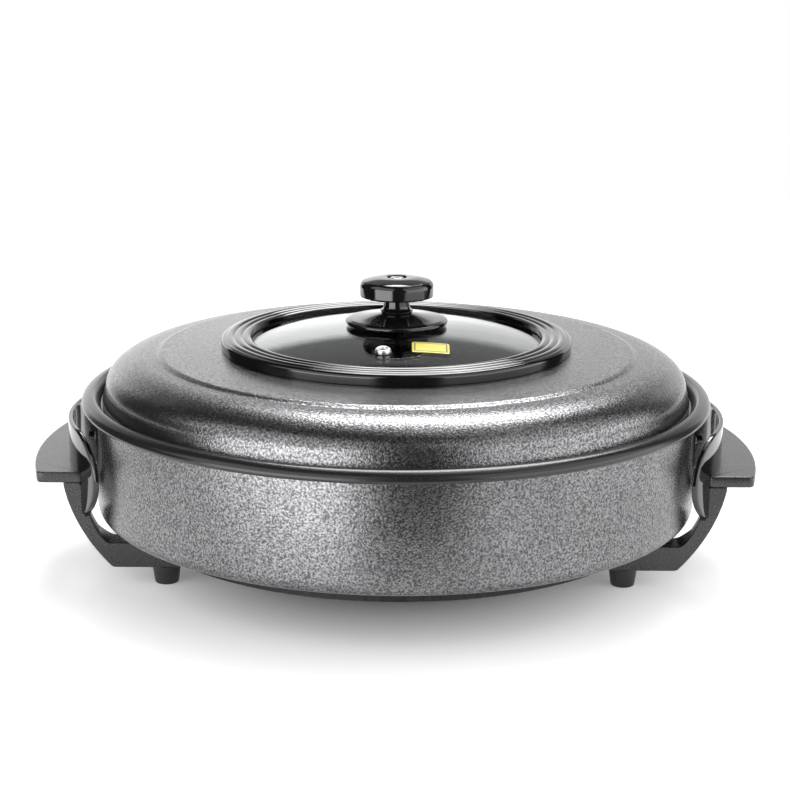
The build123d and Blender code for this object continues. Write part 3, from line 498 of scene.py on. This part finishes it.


# %% [markdown]
# ## How a piece joins the model
# Each finished piece gets its material, is hung on the moving body it rides on, and hides the CAD nodes it
# stands for.


# %% Joining a piece to the model
def join(piece, body, slot, material, *nodes):
    """Dress a piece and tie it to the CAD model."""
    piece.data.materials.clear()
    piece.data.materials.append(material)
    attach(piece, body)
    if nodes:
        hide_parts(*nodes)
    return piece


# %% [markdown]
# ## Pan
# The real pan is one casting: hammer paint outside, cooking coat inside and over the rim. Two closed
# shells meet inside the wall, so each coat is a piece of its own and its edge is crisp under the rim.
# Every row of a line is the distance from the axis, the height, and how far the corner there is cut.

# %% Pan, outside
pan_columns = 384
pan_radius, underside, wall_top = 191.6, 39.7, 108.0
paint_side, paint_bottom = 188.6, 42.4
pan_outside = [
    (0, underside, 0),
    (pan_radius, underside, 6.5),
    (pan_radius, wall_top, 0),
    (paint_side, wall_top, 0),
    (paint_side, paint_bottom, 4.5),
    (0, paint_bottom, 0),
]
pan_body = lathe("pan_body", soften(pan_outside, steps=12), pan_columns)
join(pan_body, "base", "hammered_coating", hammer_paint, "pan")

# %% Pan, inside and rim
cooking_radius, cooking_floor, coat_side, coat_bottom = 185.1, 44.7, 189.8, 43.3
rim_radius, _, rim_top = corners_of("pan")[1]
rim_width, rim_height = 7.0, 5.4
rim_side = rim_top - rim_height
floor_and_wall = [
    (0, cooking_floor, 0),
    (cooking_radius, cooking_floor, 12.5),
    (cooking_radius, wall_top, 0.8),
    (188.2, wall_top, 0.5),
    (189.8, 113.0, 1.6),
    (192.2, 114.95, 0),
]
rim_crest = arc((rim_radius - rim_width, rim_side), (rim_width, rim_height), 90, 0, steps=18)
back_inside_the_wall = [
    (rim_radius, rim_side, 0),
    (199.2, wall_top, 0.4),
    (190.6, wall_top, 0),
    (coat_side, 105.0, 0),
    (coat_side, coat_bottom, 4),
    (0, coat_bottom, 0),
]
cooking_side = np.vstack((soften(floor_and_wall, steps=10), rim_crest, soften(back_inside_the_wall)))
pan_lining = lathe("pan_lining", cooking_side, pan_columns)
join(pan_lining, "base", "satin_black", cooking_coat, "pan")

# %% [markdown]
# ## Lid
# The lid is spun from 1.5 mm sheet: a deck that falls a little towards a small step, a wide round
# shoulder, and a hemmed edge. The paint stops at the hem, so a bright bead of metal shows there. Paint and
# metal are two closed shells that overlap inside the sheet. The shoulder is a quarter of an ellipse, once
# for each face, and each face's depth under the painted one is taken off both of its half widths.

# %% Lid shell
lid_columns, shoulder_steps = 384, 60
(_, _, hem_low), (lid_radius, _, deck_height) = corners_of("lid_shell")
hole_edge, deck_start, paint_end = 98.4, 112.6, 110.9
shoulder_middle, shoulder_foot = 153.0, 119.5
shoulder_centre, shoulder_size = (shoulder_middle, shoulder_foot), np.array((31.5, 18.4))
shoulder_edge = shoulder_middle + shoulder_size[0]
paint_back, lining_front, lining_back = 0.8, 0.4, 1.5
deck_top = [
    (hole_edge, deck_height - paint_back, 0),
    (hole_edge, deck_height, 0.2),
    (deck_start, deck_height, 1.2),
    (149.8, 139.7, 1.0),
    (153.1, 138.2, 0.8),
    (159.55, 137.5, 0.1),
]
skirt = [
    (shoulder_edge, shoulder_foot, 0),
    (lid_radius, paint_end, 0.4),
    (lid_radius - paint_back, paint_end, 0),
    (shoulder_edge - paint_back, shoulder_foot, 0),
]
deck_back = [
    (152.2, 137.5, 0),
    (149.2, 138.9, 0),
    (deck_start, deck_height - paint_back, 0),
    (hole_edge, deck_height - paint_back, 0),
]
painted_sheet = np.vstack(
    (
        soften(deck_top),
        arc(shoulder_centre, shoulder_size, 78, 0, shoulder_steps),
        soften(skirt)[1:],
        arc(shoulder_centre, shoulder_size - paint_back, 0, 90, shoulder_steps),
        soften(deck_back),
    )
)
lid_cover = lathe("lid_cover", painted_sheet, lid_columns, loop=True)
join(lid_cover, "lid", "hammered_coating", hammer_paint, "lid_shell")

# %% Lid lining and bead
hem_inside = lid_radius - 3.0
metal_top = [
    (hole_edge, deck_height - lining_back, 0),
    (hole_edge, deck_height - lining_front, 0),
    (deck_start, deck_height - lining_front, 0),
    (149.4, 139.3, 0),
    (152.6, 137.9, 0),
]
hem = [
    (shoulder_edge - lining_front, shoulder_foot, 0),
    (186.3, 111.2, 0),
    (lid_radius, paint_end, 0.1),
    (lid_radius, hem_low, 0.9),
    (hem_inside, hem_low, 0.8),
    (hem_inside, 110.5, 0.6),
    (185.3, 110.7, 0.2),
    (shoulder_edge - lining_back, shoulder_foot, 0),
]
metal_back = [
    (152.0, 136.9, 0),
    (148.8, 138.3, 0),
    (deck_start, deck_height - lining_back, 0),
    (hole_edge, deck_height - lining_back, 0),
]
bare_sheet = np.vstack(
    (
        soften(metal_top),
        arc(shoulder_centre, shoulder_size - lining_front, 90, 0, shoulder_steps),
        soften(hem),
        arc(shoulder_centre, shoulder_size - lining_back, 0, 90, shoulder_steps),
        soften(metal_back),
    )
)
lid_lining = lathe("lid_lining", bare_sheet, lid_columns, loop=True)
join(lid_lining, "lid", "hammered_coating", spun_aluminium, "lid_shell")

# %% [markdown]
# ## Window frame
# A polished black ring holds the glass. Its top carries three rounded ridges. Across the ring the height
# follows one parabola per ridge, 4 p (1 - p) with p the place across that ridge, so the grooves between
# them stay sharp. A turned profile is the natural way to make it, as the real mould was turned too.

# %% Window frame
ring_radius, _, ring_top = corners_of("window_frame")[1]
ridge_count, ridge_height, ridge_steps = 3, 0.8, 16
rounding = (3.3, 2.6)
outer_ridge, inner_ridge, ridge_foot = ring_radius - rounding[0], 93.0, ring_top - ridge_height
gasket_edge, gasket_top, ring_low = 98.0, 144.87, deck_height + 0.05
across = np.linspace(outer_ridge, inner_ridge, ridge_steps * ridge_count + 1)
place_across = np.mod((outer_ridge - across) / (outer_ridge - inner_ridge) * ridge_count, 1)
ridges = np.stack((across, ridge_foot + ridge_height * 4 * place_across * (1 - place_across)), 1)
ring_foot = [
    (gasket_edge, gasket_top, 0),
    (gasket_edge, ring_low, 0),
    (111.4, ring_low, 0.3),
    (ring_radius, ridge_foot - rounding[1], 0),
]
ring_shoulder = arc((outer_ridge, ridge_foot - rounding[1]), rounding, 0, 90, steps=14)
ring_inside = [
    (inner_ridge, ridge_foot, 0),
    (92.9, 147.7, 0.2),
    (inner_ridge, gasket_top, 0.2),
    (gasket_edge, gasket_top, 0),
]
frame_line = np.vstack((soften(ring_foot), ring_shoulder, ridges, soften(ring_inside)))
window_ring = lathe("window_ring", frame_line, lid_columns, loop=True)
join(window_ring, "lid", "gloss_black", polished_black, "window_frame")

# %% [markdown]
# ## Window glass
# The dome is part of a large ball: z = centre + sqrt(R^2 - r^2), once for each face. The hole for the
# knob's screw is in the profile, and the one for the steam vent is cut with a Boolean.

# %% Window glass
dome_centre, dome_radius, glass_thickness = -238.5, 394.0, 4.0
glass_edge = corners_of("window_glass")[1][0]
screw_hole, edge_inset, edge_drop, dome_steps = 2.75, 0.3, 0.4, 70


def dome(radius, lift=0.0):
    """Height of the dome's outer face at this distance from the axis, raised by lift."""
    return dome_centre + np.sqrt((dome_radius + lift) ** 2 - radius**2)


outwards = np.linspace(screw_hole, glass_edge - edge_inset, dome_steps)
glass_rim = [
    (glass_edge, dome(glass_edge) - edge_drop),
    (glass_edge, dome(glass_edge) - glass_thickness + edge_drop),
]
glass_line = np.vstack(
    (
        np.stack((outwards, dome(outwards)), 1),
        glass_rim,
        np.stack((outwards, dome(outwards, -glass_thickness)), 1)[::-1],
    )
)
window_dome = lathe("window_dome", glass_line, lid_columns, loop=True)

# %% Steam vent
small_columns = 96
vent_x, vent_y = -8.0, -63.5
vent_bore, vent_hole, brim_radius, tube_end, brim_side = 2.2, 3.0, 4.8, -5.2, 1.6
vent_z = float(dome(np.hypot(vent_x, vent_y)))
vent_up = Vector((vent_x, vent_y, vent_z - dome_centre)).normalized()
vent_turn = vent_up.to_track_quat("Z", "Y").to_matrix().to_4x4()
vent_place = Matrix.Translation(Vector((vent_x, vent_y, vent_z)) * mm) @ vent_turn
tube_and_brim = [
    (vent_bore, 1.9, 0),
    (vent_bore, tube_end, 0.2),
    (vent_hole, tube_end, 0.2),
    (vent_hole, 0.5, 0.1),
    (brim_radius, 0.5, 0.3),
    (brim_radius, brim_side, 0),
]
brim_middle, brim_half = (brim_radius + vent_bore) / 2, (brim_radius - vent_bore) / 2
rolled_edge = arc((brim_middle, brim_side), (brim_half, 1.5), 0, 180, steps=20)
eyelet_line = np.vstack((soften(tube_and_brim), rolled_edge))
vent_ring = lathe("vent_ring", eyelet_line, small_columns, loop=True)
vent_ring.data.transform(vent_place)
join(vent_ring, "lid", "contact_plating", tumbled_aluminium, "vent_eyelet")

# %% [markdown]
# The cutter is a plain turned pin on the vent's axis. The Boolean is applied at once: the glass keeps
# the result as its own mesh, and the pin is removed, so nothing live is left behind.


# %% Vent hole in the glass
def drill(piece, pin):
    """Cut the pin's shape out of the piece and keep the result as the piece's mesh."""
    cut = piece.modifiers.new("hole", "BOOLEAN")
    cut.object = pin
    cut.operation = "DIFFERENCE"
    cut.solver = "EXACT"
    bpy.context.view_layer.update()
    result = bpy.data.meshes.new_from_object(piece.evaluated_get(bpy.context.evaluated_depsgraph_get()))
    piece.modifiers.clear()
    old, piece.data = piece.data, result
    result.name = piece.name
    bpy.data.meshes.remove(old)
    bpy.data.objects.remove(pin)


pin_low, pin_high = -9.0, 3.0
pin_line = np.array([(0, pin_low), (vent_hole, pin_low), (vent_hole, pin_high), (0, pin_high)])
vent_pin = lathe("vent_pin", pin_line, small_columns // 2)
vent_pin.data.transform(vent_place)
drill(window_dome, vent_pin)
join(window_dome, "lid", "window_glass", window_finish, "window_glass")
print("glass faces:", len(window_dome.data.polygons))

# %% [markdown]
# ## Knob
# Three turned pieces: a low coned disc that keeps fingers off the hot glass, the grip with its waisted
# neck and thick cap, and the screw whose head lies in the cap's hollow.

# %% Knob disc
knob_columns = 256
(_, _, disc_low), (disc_radius, _, disc_high) = corners_of("knob_flange")
edge_width, edge_height = 1.0, 1.3
disc_edge = disc_radius - edge_width
disc_foot = [(screw_hole, disc_high, 0), (screw_hole, disc_low, 0), (disc_edge, disc_low, 0)]
disc_cone = [
    (disc_edge, disc_low + 2 * edge_height, 0),
    (29.6, 158.9, 0.6),
    (24.0, 159.6, 2.5),
    (10.4, 162.1, 0),
]
disc_line = np.vstack(
    (
        soften(disc_foot),
        arc((disc_edge, disc_low + edge_height), (edge_width, edge_height), -90, 90, steps=16),
        soften(disc_cone),
        soften([(10.4, 162.1, 0), (9.0, disc_high, 0.3), (screw_hole, disc_high, 0)]),
    )
)
knob_disc = lathe("knob_disc", disc_line, knob_columns, loop=True)
join(knob_disc, "lid", "gloss_black", polished_black, "knob_flange")

# %% Knob grip
cap_radius, _, cap_top = corners_of("knob_grip")[1]
neck_radius, neck_waist, cap_low, cap_side, hollow_floor = 8.2, 167.3, 173.0, 179.3, 182.3
bore_and_foot = [
    (screw_hole, hollow_floor, 0),
    (screw_hole, disc_high, 0),
    (9.9, disc_high, 0.3),
    (10.5, 164.1, 0),
]
neck_and_cap = [
    (neck_radius, neck_waist, 0),
    (neck_radius, cap_low, 1.6),
    (22.8, cap_low, 0.4),
    (cap_radius, 173.8, 0.4),
    (cap_radius, cap_side, 0),
]
hollow = [(6.6, cap_top, 0), (6.0, 184.9, 0.5), (6.0, hollow_floor, 0.4), (screw_hole, hollow_floor, 0)]
grip_line = np.vstack(
    (
        soften(bore_and_foot),
        arc((10.5, neck_waist), (2.3, 3.2), 270, 180, steps=14),
        soften(neck_and_cap),
        arc((20.0, cap_side), (3.6, 4.2), 0, 68, steps=20),
        through((21.35, 183.2), (13.4, 184.95), (6.6, cap_top), steps=24),
        soften(hollow),
    )
)
knob_cap = lathe("knob_cap", grip_line, knob_columns, loop=True)
join(knob_cap, "lid", "gloss_black", polished_black, "knob_grip")

# %% Knob screw
(_, _, screw_end), (head_radius, _, _) = corners_of("knob_screw")
shaft_radius, recess_floor = 2.5, 184.1
screw_line = [
    (0, screw_end, 0),
    (shaft_radius, screw_end, 0.5),
    (shaft_radius, hollow_floor, 0),
    (head_radius, hollow_floor, 0.2),
    (head_radius, 184.9, 1.0),
    (1.6, cap_top, 0.2),
    (1.2, recess_floor, 0.1),
    (0, recess_floor, 0),
]
knob_bolt = lathe("knob_bolt", soften(screw_line), small_columns)
join(knob_bolt, "lid", "fastener_steel", bright_steel, "knob_screw")

# %% [markdown]
# ## Sticker
# A thin film that follows the dome: a rounded rectangle, shrunk ring by ring towards its middle, with
# each point lifted onto the glass. Its lower face touches the glass, its upper face lies 0.25 mm above.

# %% Sticker
film_thickness, film_side, film_bevel, corner_reach = 0.25, 0.18, 0.015, 1.1
half_x, half_y = sticker_width / 2, sticker_depth / 2
film_corners = np.array([(-half_x, -half_y), (half_x, -half_y), (half_x, half_y), (-half_x, half_y)])
film_outline = round_off(film_corners, corner_reach, steps=240)
growing = np.linspace(0, 1, 9)
film_size = np.concatenate((growing, [1.0, 1.0 - film_bevel], growing[::-1][1:]))
film_lift = np.concatenate((0 * growing, [film_side, film_thickness], film_thickness + 0 * growing[1:]))
film_x = sticker_x + film_size[:, None] * film_outline[:, 0]
film_y = sticker_y + film_size[:, None] * film_outline[:, 1]
film_z = dome(np.hypot(film_x, film_y), film_lift[:, None])
sticker_film = shell("sticker_film", np.dstack((film_x, film_y, film_z)))
join(sticker_film, "lid", "sticker_yellow", yellow_film, "plain_sticker")

# %% [markdown]
# ## Guards
# Between the pan and each grip stands a bent plate with round ends, polished black. Flat, it is a stadium:
# a straight middle line with half circles round its ends. Rings run from the middle line out over one
# face, round the edge, and back over the other face, and each point is then bent onto the guard's arc.

# %% Guards
(_, _, guard_low), (guard_outside, guard_end, guard_high) = corners_of("guard_right")
bend_radius, guard_thickness, guard_edge, flat_share = 140.0, 3.0, 0.9, 0.95
bend_centre = guard_outside - bend_radius
half_height, guard_middle = (guard_high - guard_low) / 2, (guard_high + guard_low) / 2
half_line = guard_end - half_height


def guard(name, side, run_steps=60, end_steps=49, face_steps=16, edge_steps=7):
    """A bent stadium plate: x = side (centre + sqrt(rho^2 - y^2)), rho being the bend's radius there.

    A point at inset i from the outline lies at middle + (half_height - i) (cos angle, sin angle). Over
    each face i shrinks evenly, and round the edge it is guard_edge (1 - sin a), while the point sinks
    below the face by guard_edge (1 - cos a)."""
    run = np.linspace(-half_line, half_line, run_steps)
    end = np.radians(np.linspace(90, -90, end_steps))
    middle = np.concatenate((run, half_line + 0 * end, run[::-1], -half_line + 0 * end))
    angle = np.concatenate((pi / 2 + 0 * run, end, -pi / 2 + 0 * run, end - pi))
    face = half_height * (1 - np.linspace(0, flat_share, face_steps)[:-1])
    a = np.radians(np.linspace(0, 90, edge_steps))
    inset = np.concatenate((face, guard_edge * (1 - np.sin(a))))
    sink = np.concatenate((0 * face, guard_edge * (1 - np.cos(a))))
    inset = np.concatenate((inset, inset[::-1]))[:, None]
    rho = np.concatenate((bend_radius - sink, (bend_radius - guard_thickness + sink)[::-1]))[:, None]
    y = middle + (half_height - inset) * np.cos(angle)
    z = guard_middle + (half_height - inset) * np.sin(angle)
    x = side * (bend_centre + np.sqrt(rho**2 - y**2))
    return shell(name, np.dstack((x, y, z)))


sides = {"left": -1, "right": 1}
for hand, side in sides.items():
    join(guard(f"guard_plate_{hand}", side), "base", "gloss_black", polished_black, f"guard_{hand}")

# %% [markdown]
# ## Grips
# The grip is a flat moulding: its outer edge is part of a circle round the pan's axis, its inner edge
# follows the guard. The outline's corners are averaged round, and the slab's edges are rounded too.


# %% Grips
(_, _, grip_low), (grip_reach, grip_half_width, grip_high) = corners_of("grip_right")
grip_corner, grip_edge, in_the_guard = 2.0, 1.3, 1.2


def grip(name, side):
    """A flat slab between x = centre + sqrt(R^2 - y^2), just inside the guard, and the circle of
    radius grip_reach round the pan's axis."""
    y = np.linspace(-grip_half_width, grip_half_width, 120)
    outer = np.stack((np.sqrt(grip_reach**2 - y**2), y), 1)
    inner = np.stack((bend_centre + np.sqrt((bend_radius - in_the_guard) ** 2 - y**2), y), 1)
    outline = round_off(np.vstack((outer, inner[::-1])), grip_corner, steps=640)
    rings = slab(outline, grip_low, grip_high, grip_edge)
    rings[..., 0] *= side
    return shell(name, rings, flat_ends=True)


for hand, side in sides.items():
    join(grip(f"grip_plate_{hand}", side), "base", "satin_black", satin_black, f"grip_{hand}")

# %% [markdown]
# ## Legs
# Each leg is cut from the side: a curved upright that widens downwards and an arm that runs in under the
# pan. The slab stands on edge. The upright's inner side has the draft of a real mould: it leans, so that
# the upright is thinner towards the middle of the grip. Above the guard's lower edge the inner side is
# pushed out to the guard, x >= centre + sqrt(R^2 - y^2), as the real leg is notched there.

# %% Legs
(arm_end, leg_near, arm_low), (leg_outside, leg_far, _) = corners_of("leg_rear_right")
arm_high, leg_top, leg_edge, leg_corner = 28.0, grip_low + 0.4, 0.8, 1.2
lean, lean_runs_in, inner_side, least_wall = 0.17, 6.0, 6.0, 1.5
outer_curve = through((175.9, arm_low), (195.4, 38.2), (leg_outside, leg_top))
inner_curve = through((193.9, leg_top), (187.3, 41.5), (177.6, arm_high))
leg_side = np.vstack(([(arm_end, arm_high), (arm_end, arm_low)], outer_curve, inner_curve))
leg_outline = round_off(leg_side, leg_corner, steps=900)


def leg(name, side, end):
    """The leg's side outline as a slab, its inner side leaning and clear of the guard.

    The lean moves the inner side outwards by lean (leg_far - y), and runs in over the first few
    millimetres above the arm. Above the guard's lower edge the inner side lies no further in than the
    middle of the guard's sheet, but leaves least_wall to the upright."""
    rings = slab(leg_outline, leg_near, leg_far, leg_edge)
    x, z, y = rings[..., 0], rings[..., 1], rings[..., 2]
    outer_x = np.interp(z, outer_curve[:, 1], outer_curve[:, 0])
    draft = lean * (leg_far - y) * np.clip((z - arm_high) / lean_runs_in, 0, 1)
    x = np.where(x < outer_x - inner_side, x + draft, x)
    guard_x = bend_centre + np.sqrt((bend_radius - guard_thickness / 2) ** 2 - y**2)
    clear = np.minimum(guard_x, outer_x - least_wall)
    x = np.where(z > guard_low, np.maximum(x, clear), x)
    return shell(name, np.dstack((side * x, end * y, z)), flat_ends=True)


for hand, side in sides.items():
    for row, end in (("front", -1), ("rear", 1)):
        piece = leg(f"leg_curve_{row}_{hand}", side, end)
        join(piece, "base", "satin_black", satin_black, f"leg_{row}_{hand}")

# %% [markdown]
# ## Feet
# Four tapered stubs, each with a counterbore for its long screw. A turned profile again, then moved to
# its corner in the mesh itself, so the object stays at the origin.

# %% Feet
(foot_inside, foot_near, _), (foot_outside, foot_far, foot_height) = corners_of("foot_4")
foot_x, foot_y = (foot_inside + foot_outside) / 2, (foot_near + foot_far) / 2
foot_radius, tread_radius = (foot_outside - foot_inside) / 2, 7.4
foot_screw_hole, counterbore, counterbore_depth = 2.75, 4.6, 5.0
foot_corners = [
    (counterbore, 0, 0.3),
    (tread_radius, 0, 1.2),
    (foot_radius, foot_height, 0),
    (foot_screw_hole, foot_height, 0),
    (foot_screw_hole, counterbore_depth, 0),
    (counterbore, counterbore_depth, 0.2),
]
foot_line = soften(foot_corners, closed=True)
foot_places = [(x * foot_x, y * foot_y) for x in (-1, 1) for y in (-1, 1)]
for number, (x, y) in enumerate(foot_places, start=1):
    stub = lathe(f"foot_stub_{number}", foot_line, small_columns, loop=True)
    stub.data.transform(Matrix.Translation((x * mm, y * mm, 0)))
    join(stub, "base", "foot_black", foot_black, f"foot_{number}")

# %% [markdown]
# ## CAD nodes that stay
# Fasteners, seals, the bottom cover and the heating parts keep their CAD shape, which is right as it is, and
# get the materials of the real ones. Only the bottom cover's steel is made dark instead: painted shade under
# the pan.

# %% Materials on the CAD nodes
clamps = ["element_clamp_1", "element_clamp_2", "element_clamp_3", "sleeve_clamp"]
screws = [f"{group}_screws" for group in ("clamp", "sleeve_clamp", "inlet", "foot", "leg", "guard", "ring")]
kept_nodes = (
    # Painted shade: the bottom cover in dark steel, for the shade under the pan.
    (shade_dark_steel, ["bottom_cover"]),
    (rolled_steel, clamps),
    (spun_aluminium, ["clamp_ring"]),
    (oxidised_steel, ["heating_element"]),
    (drawn_brass, ["probe_sleeve"]),
    (plated_pin, ["inlet_pins"]),
    (steatite, ["pin_bushes"]),
    (satin_black, ["inlet_shroud"]),
    (seal_black, ["window_gasket", "knob_seal", "inner_seal", "vent_grommet"]),
    (bright_steel, ["knob_washer", "knob_nut", *screws]),
)
for material, names in kept_nodes:
    for name in names:
        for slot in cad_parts[name].material_slots:
            slot.material = material
print("CAD nodes dressed:", sum(len(names) for material, names in kept_nodes))

# %% [markdown]
# ## Floor
# The pan stands on a white sweep. The floor is a pale sheet that keeps the soft shadow, with painted light
# added away from the pan, so the darker ring round the pan is partly painted shadow. It ends just below the
# picture's lower edge, so that low light can reach the pan from in front.

# %% Floor
floor_x, floor_front, floor_back = 800 * mm, -370 * mm, 1600 * mm
floor_ends = ((-floor_x, floor_front), (floor_x, floor_front), (floor_x, floor_back), (-floor_x, floor_back))
floor_mesh = bpy.data.meshes.new("floor_sheet")
floor_mesh.from_pydata([(x, y, 0) for x, y in floor_ends], [], [(0, 1, 2, 3)])
floor_sheet = bpy.data.objects.new("floor_sheet", floor_mesh)
bpy.context.scene.collection.objects.link(floor_sheet)


def floor_finish():
    """Matt white lacquered board with painted light on it away from the pan.

    The painted light is there for what the camera sees directly, in gloss or through glass, and sheds no
    light.
    It rises from nothing at glow_start from the middle to half of white at glow_stop, so the darker floor
    near the pan is painted shadow on top of the real one."""
    material, tree, shader, place = new_material("white_board_with_painted_light")
    grain = add(tree, "TexNoise", Vector=place, Scale=every(3), Detail=2.0)
    colour = ramp(tree, grain.outputs[0], 0.3, 0.7, "#f9f9f9", "#fcfcfc")
    white = (1, 1, 1, 1)
    fill(tree, shader, Base_Color=colour, Roughness=0.9, Specular_IOR_Level=0.0, Emission_Color=white)
    rays = add(tree, "LightPath").outputs
    seen = add(tree, "Math", i0=rays["Is Camera Ray"], i1=rays["Is Glossy Ray"])
    shown = add(tree, "Math", i0=seen.outputs[0], i1=rays["Is Transmission Ray"])
    away = add(tree, "VectorMath", {"operation": "LENGTH"}, i0=place)
    glow_start, glow_stop, half = 90 * mm, 225 * mm, 0.5
    spread = add(tree, "MapRange", Value=away.outputs["Value"], From_Min=glow_start, From_Max=glow_stop)
    fill(tree, spread, To_Max=half)
    # Painted light: emission that grows with the distance from the pan, leaving painted shadow round it.
    painted_glow = add(tree, "Math", {"operation": "MULTIPLY"}, i0=shown.outputs[0], i1=spread.outputs[0])
    fill(tree, shader, Emission_Strength=painted_glow.outputs[0])
    return material


floor_sheet.data.materials.append(floor_finish())

# %% [markdown]
# ## Studio
# Everything on the pan is glossy, so the light is first of all a picture that the pan mirrors. It is
# painted on the world, as rectangles in azimuth and height with soft edges. Area lamps could stand there
# instead, but a painted room has no distance to get wrong, and each light's place can be read off the
# reflections: the lit wall's top edge shows in the glass, the lamp behind it in the lid's shoulder.

# %% World
wide = 90
# Middle and half width in azimuth from the front, lower and upper edge in height, soft edge, level. All
# but the level are degrees.
lights = {
    "wall behind, left": (198, 21, -wide, 20.5, 5, 1.6),
    "wall behind, right": (157, 20, -wide, 20.5, 5, 1.15),
    "room above the wall": (180, 45, 20.5, 37, 3, 0.35),
    "lamp behind": (172, 21, 40, 61, 3, 11.0),
    "ceiling above the lamp": (172, 40, 60, 78, 10, 1.6),
    "ceiling, right": (120, 55, 60, wide, 14, 0.9),
    "window, left": (-42, 28, -wide, 18, 8, 4.6),
    "window, left, upper panes": (-52, 42, 20, 56, 10, 1.5),
    "window, right": (70, 40, -8, 22, 8, 2.6),
    "window, right, lower panes": (60, 35, -wide, -8, 10, 1.5),
    "window, right, upper panes": (68, 44, 22, 56, 10, 1.4),
}
room_level = 0.02


def painted_light(tree, azimuth, height, middle, half_width, low, high, soft, level):
    """One rectangle: level times a smooth step over each edge, with the azimuth's difference wrapped."""
    smooth = {"interpolation_type": "SMOOTHSTEP"}
    turn = add(tree, "Math", {"operation": "SUBTRACT"}, i0=azimuth, i1=radians(middle))
    turn = add(tree, "Math", {"operation": "WRAP"}, i0=turn.outputs[0], i1=pi, i2=-pi)
    away = add(tree, "Math", {"operation": "ABSOLUTE"}, i0=turn.outputs[0])
    near, far = radians(half_width - soft / 2), radians(half_width + soft / 2)
    light = add(tree, "MapRange", smooth, Value=away.outputs[0], From_Min=near, From_Max=far, To_Min=level,
                To_Max=0.0)
    for edge, sign in ((low, 1), (high, -1)):
        if abs(edge) < wide:
            start, stop = radians(edge - sign * soft / 2), radians(edge + sign * soft / 2)
            gate = add(tree, "MapRange", smooth, Value=height, From_Min=start, From_Max=stop)
            light = add(tree, "Math", {"operation": "MULTIPLY"}, i0=light.outputs[0], i1=gate.outputs[0])
    return light.outputs[0]


def studio_world():
    """White for the camera, and for everything else the room's level plus all painted lights."""
    world = bpy.data.worlds.new("studio")
    bpy.context.scene.world = world
    world.use_nodes = True
    tree = world.node_tree
    tree.nodes.clear()
    parts = add(tree, "SeparateXYZ", Vector=add(tree, "TexCoord").outputs["Generated"]).outputs
    forwards = add(tree, "Math", {"operation": "MULTIPLY"}, i0=parts[1], i1=-1.0)
    azimuth = add(tree, "Math", {"operation": "ARCTAN2"}, i0=parts[0], i1=forwards.outputs[0])
    height = add(tree, "Math", {"operation": "ARCSINE"}, i0=parts[2])
    total = room_level
    for row in lights.values():
        light = painted_light(tree, azimuth.outputs[0], height.outputs[0], *row)
        total = add(tree, "Math", i0=total, i1=light).outputs[0]
    seen = add(tree, "LightPath").outputs["Is Camera Ray"]
    level = add(tree, "Mix", {"data_type": "FLOAT"}, Factor=seen, i2=total, i3=1.0)
    shade = add(tree, "Background", Color=(1, 1, 1, 1), Strength=level.outputs[0])
    add(tree, "OutputWorld", Surface=shade.outputs[0])


studio_world()
print("lights in the studio:", len(lights))

# %% [markdown]
# ## Camera
# The camera was fitted to the photograph: 14 degrees above the table, 1.21 m from a point on the pan's
# axis just under the rim, and turned by less than half a degree.

# %% Camera
picture_pixels, focal_pixels, shift_pixels = 790, 1878.156, -1.03
camera_distance, aim_height = 1209.95 * mm, 108 * mm
elevation, roll = radians(14.1491), radians(0.42055)
aim = Vector((0, 0, aim_height))
away = Vector((0, -cos(elevation), sin(elevation)))
right, up = Vector((1, 0, 0)), Vector((0, sin(elevation), cos(elevation)))
rolled_right = cos(roll) * right + sin(roll) * up
rolled_up = cos(roll) * up - sin(roll) * right
camera = bpy.data.cameras.new("camera")
camera.sensor_width = 36.0
camera.lens = camera.sensor_width * focal_pixels / picture_pixels
camera.shift_x = shift_pixels / picture_pixels
camera_stand = bpy.data.objects.new("camera", camera)
turned = Matrix((rolled_right, rolled_up, away)).transposed().to_4x4()
camera_stand.matrix_world = Matrix.Translation(aim + camera_distance * away) @ turned
bpy.context.scene.collection.objects.link(camera_stand)
bpy.context.scene.camera = camera_stand
bpy.context.scene.view_settings.view_transform = "Standard"
print("camera at", [round(v, 4) for v in camera_stand.matrix_world.translation])
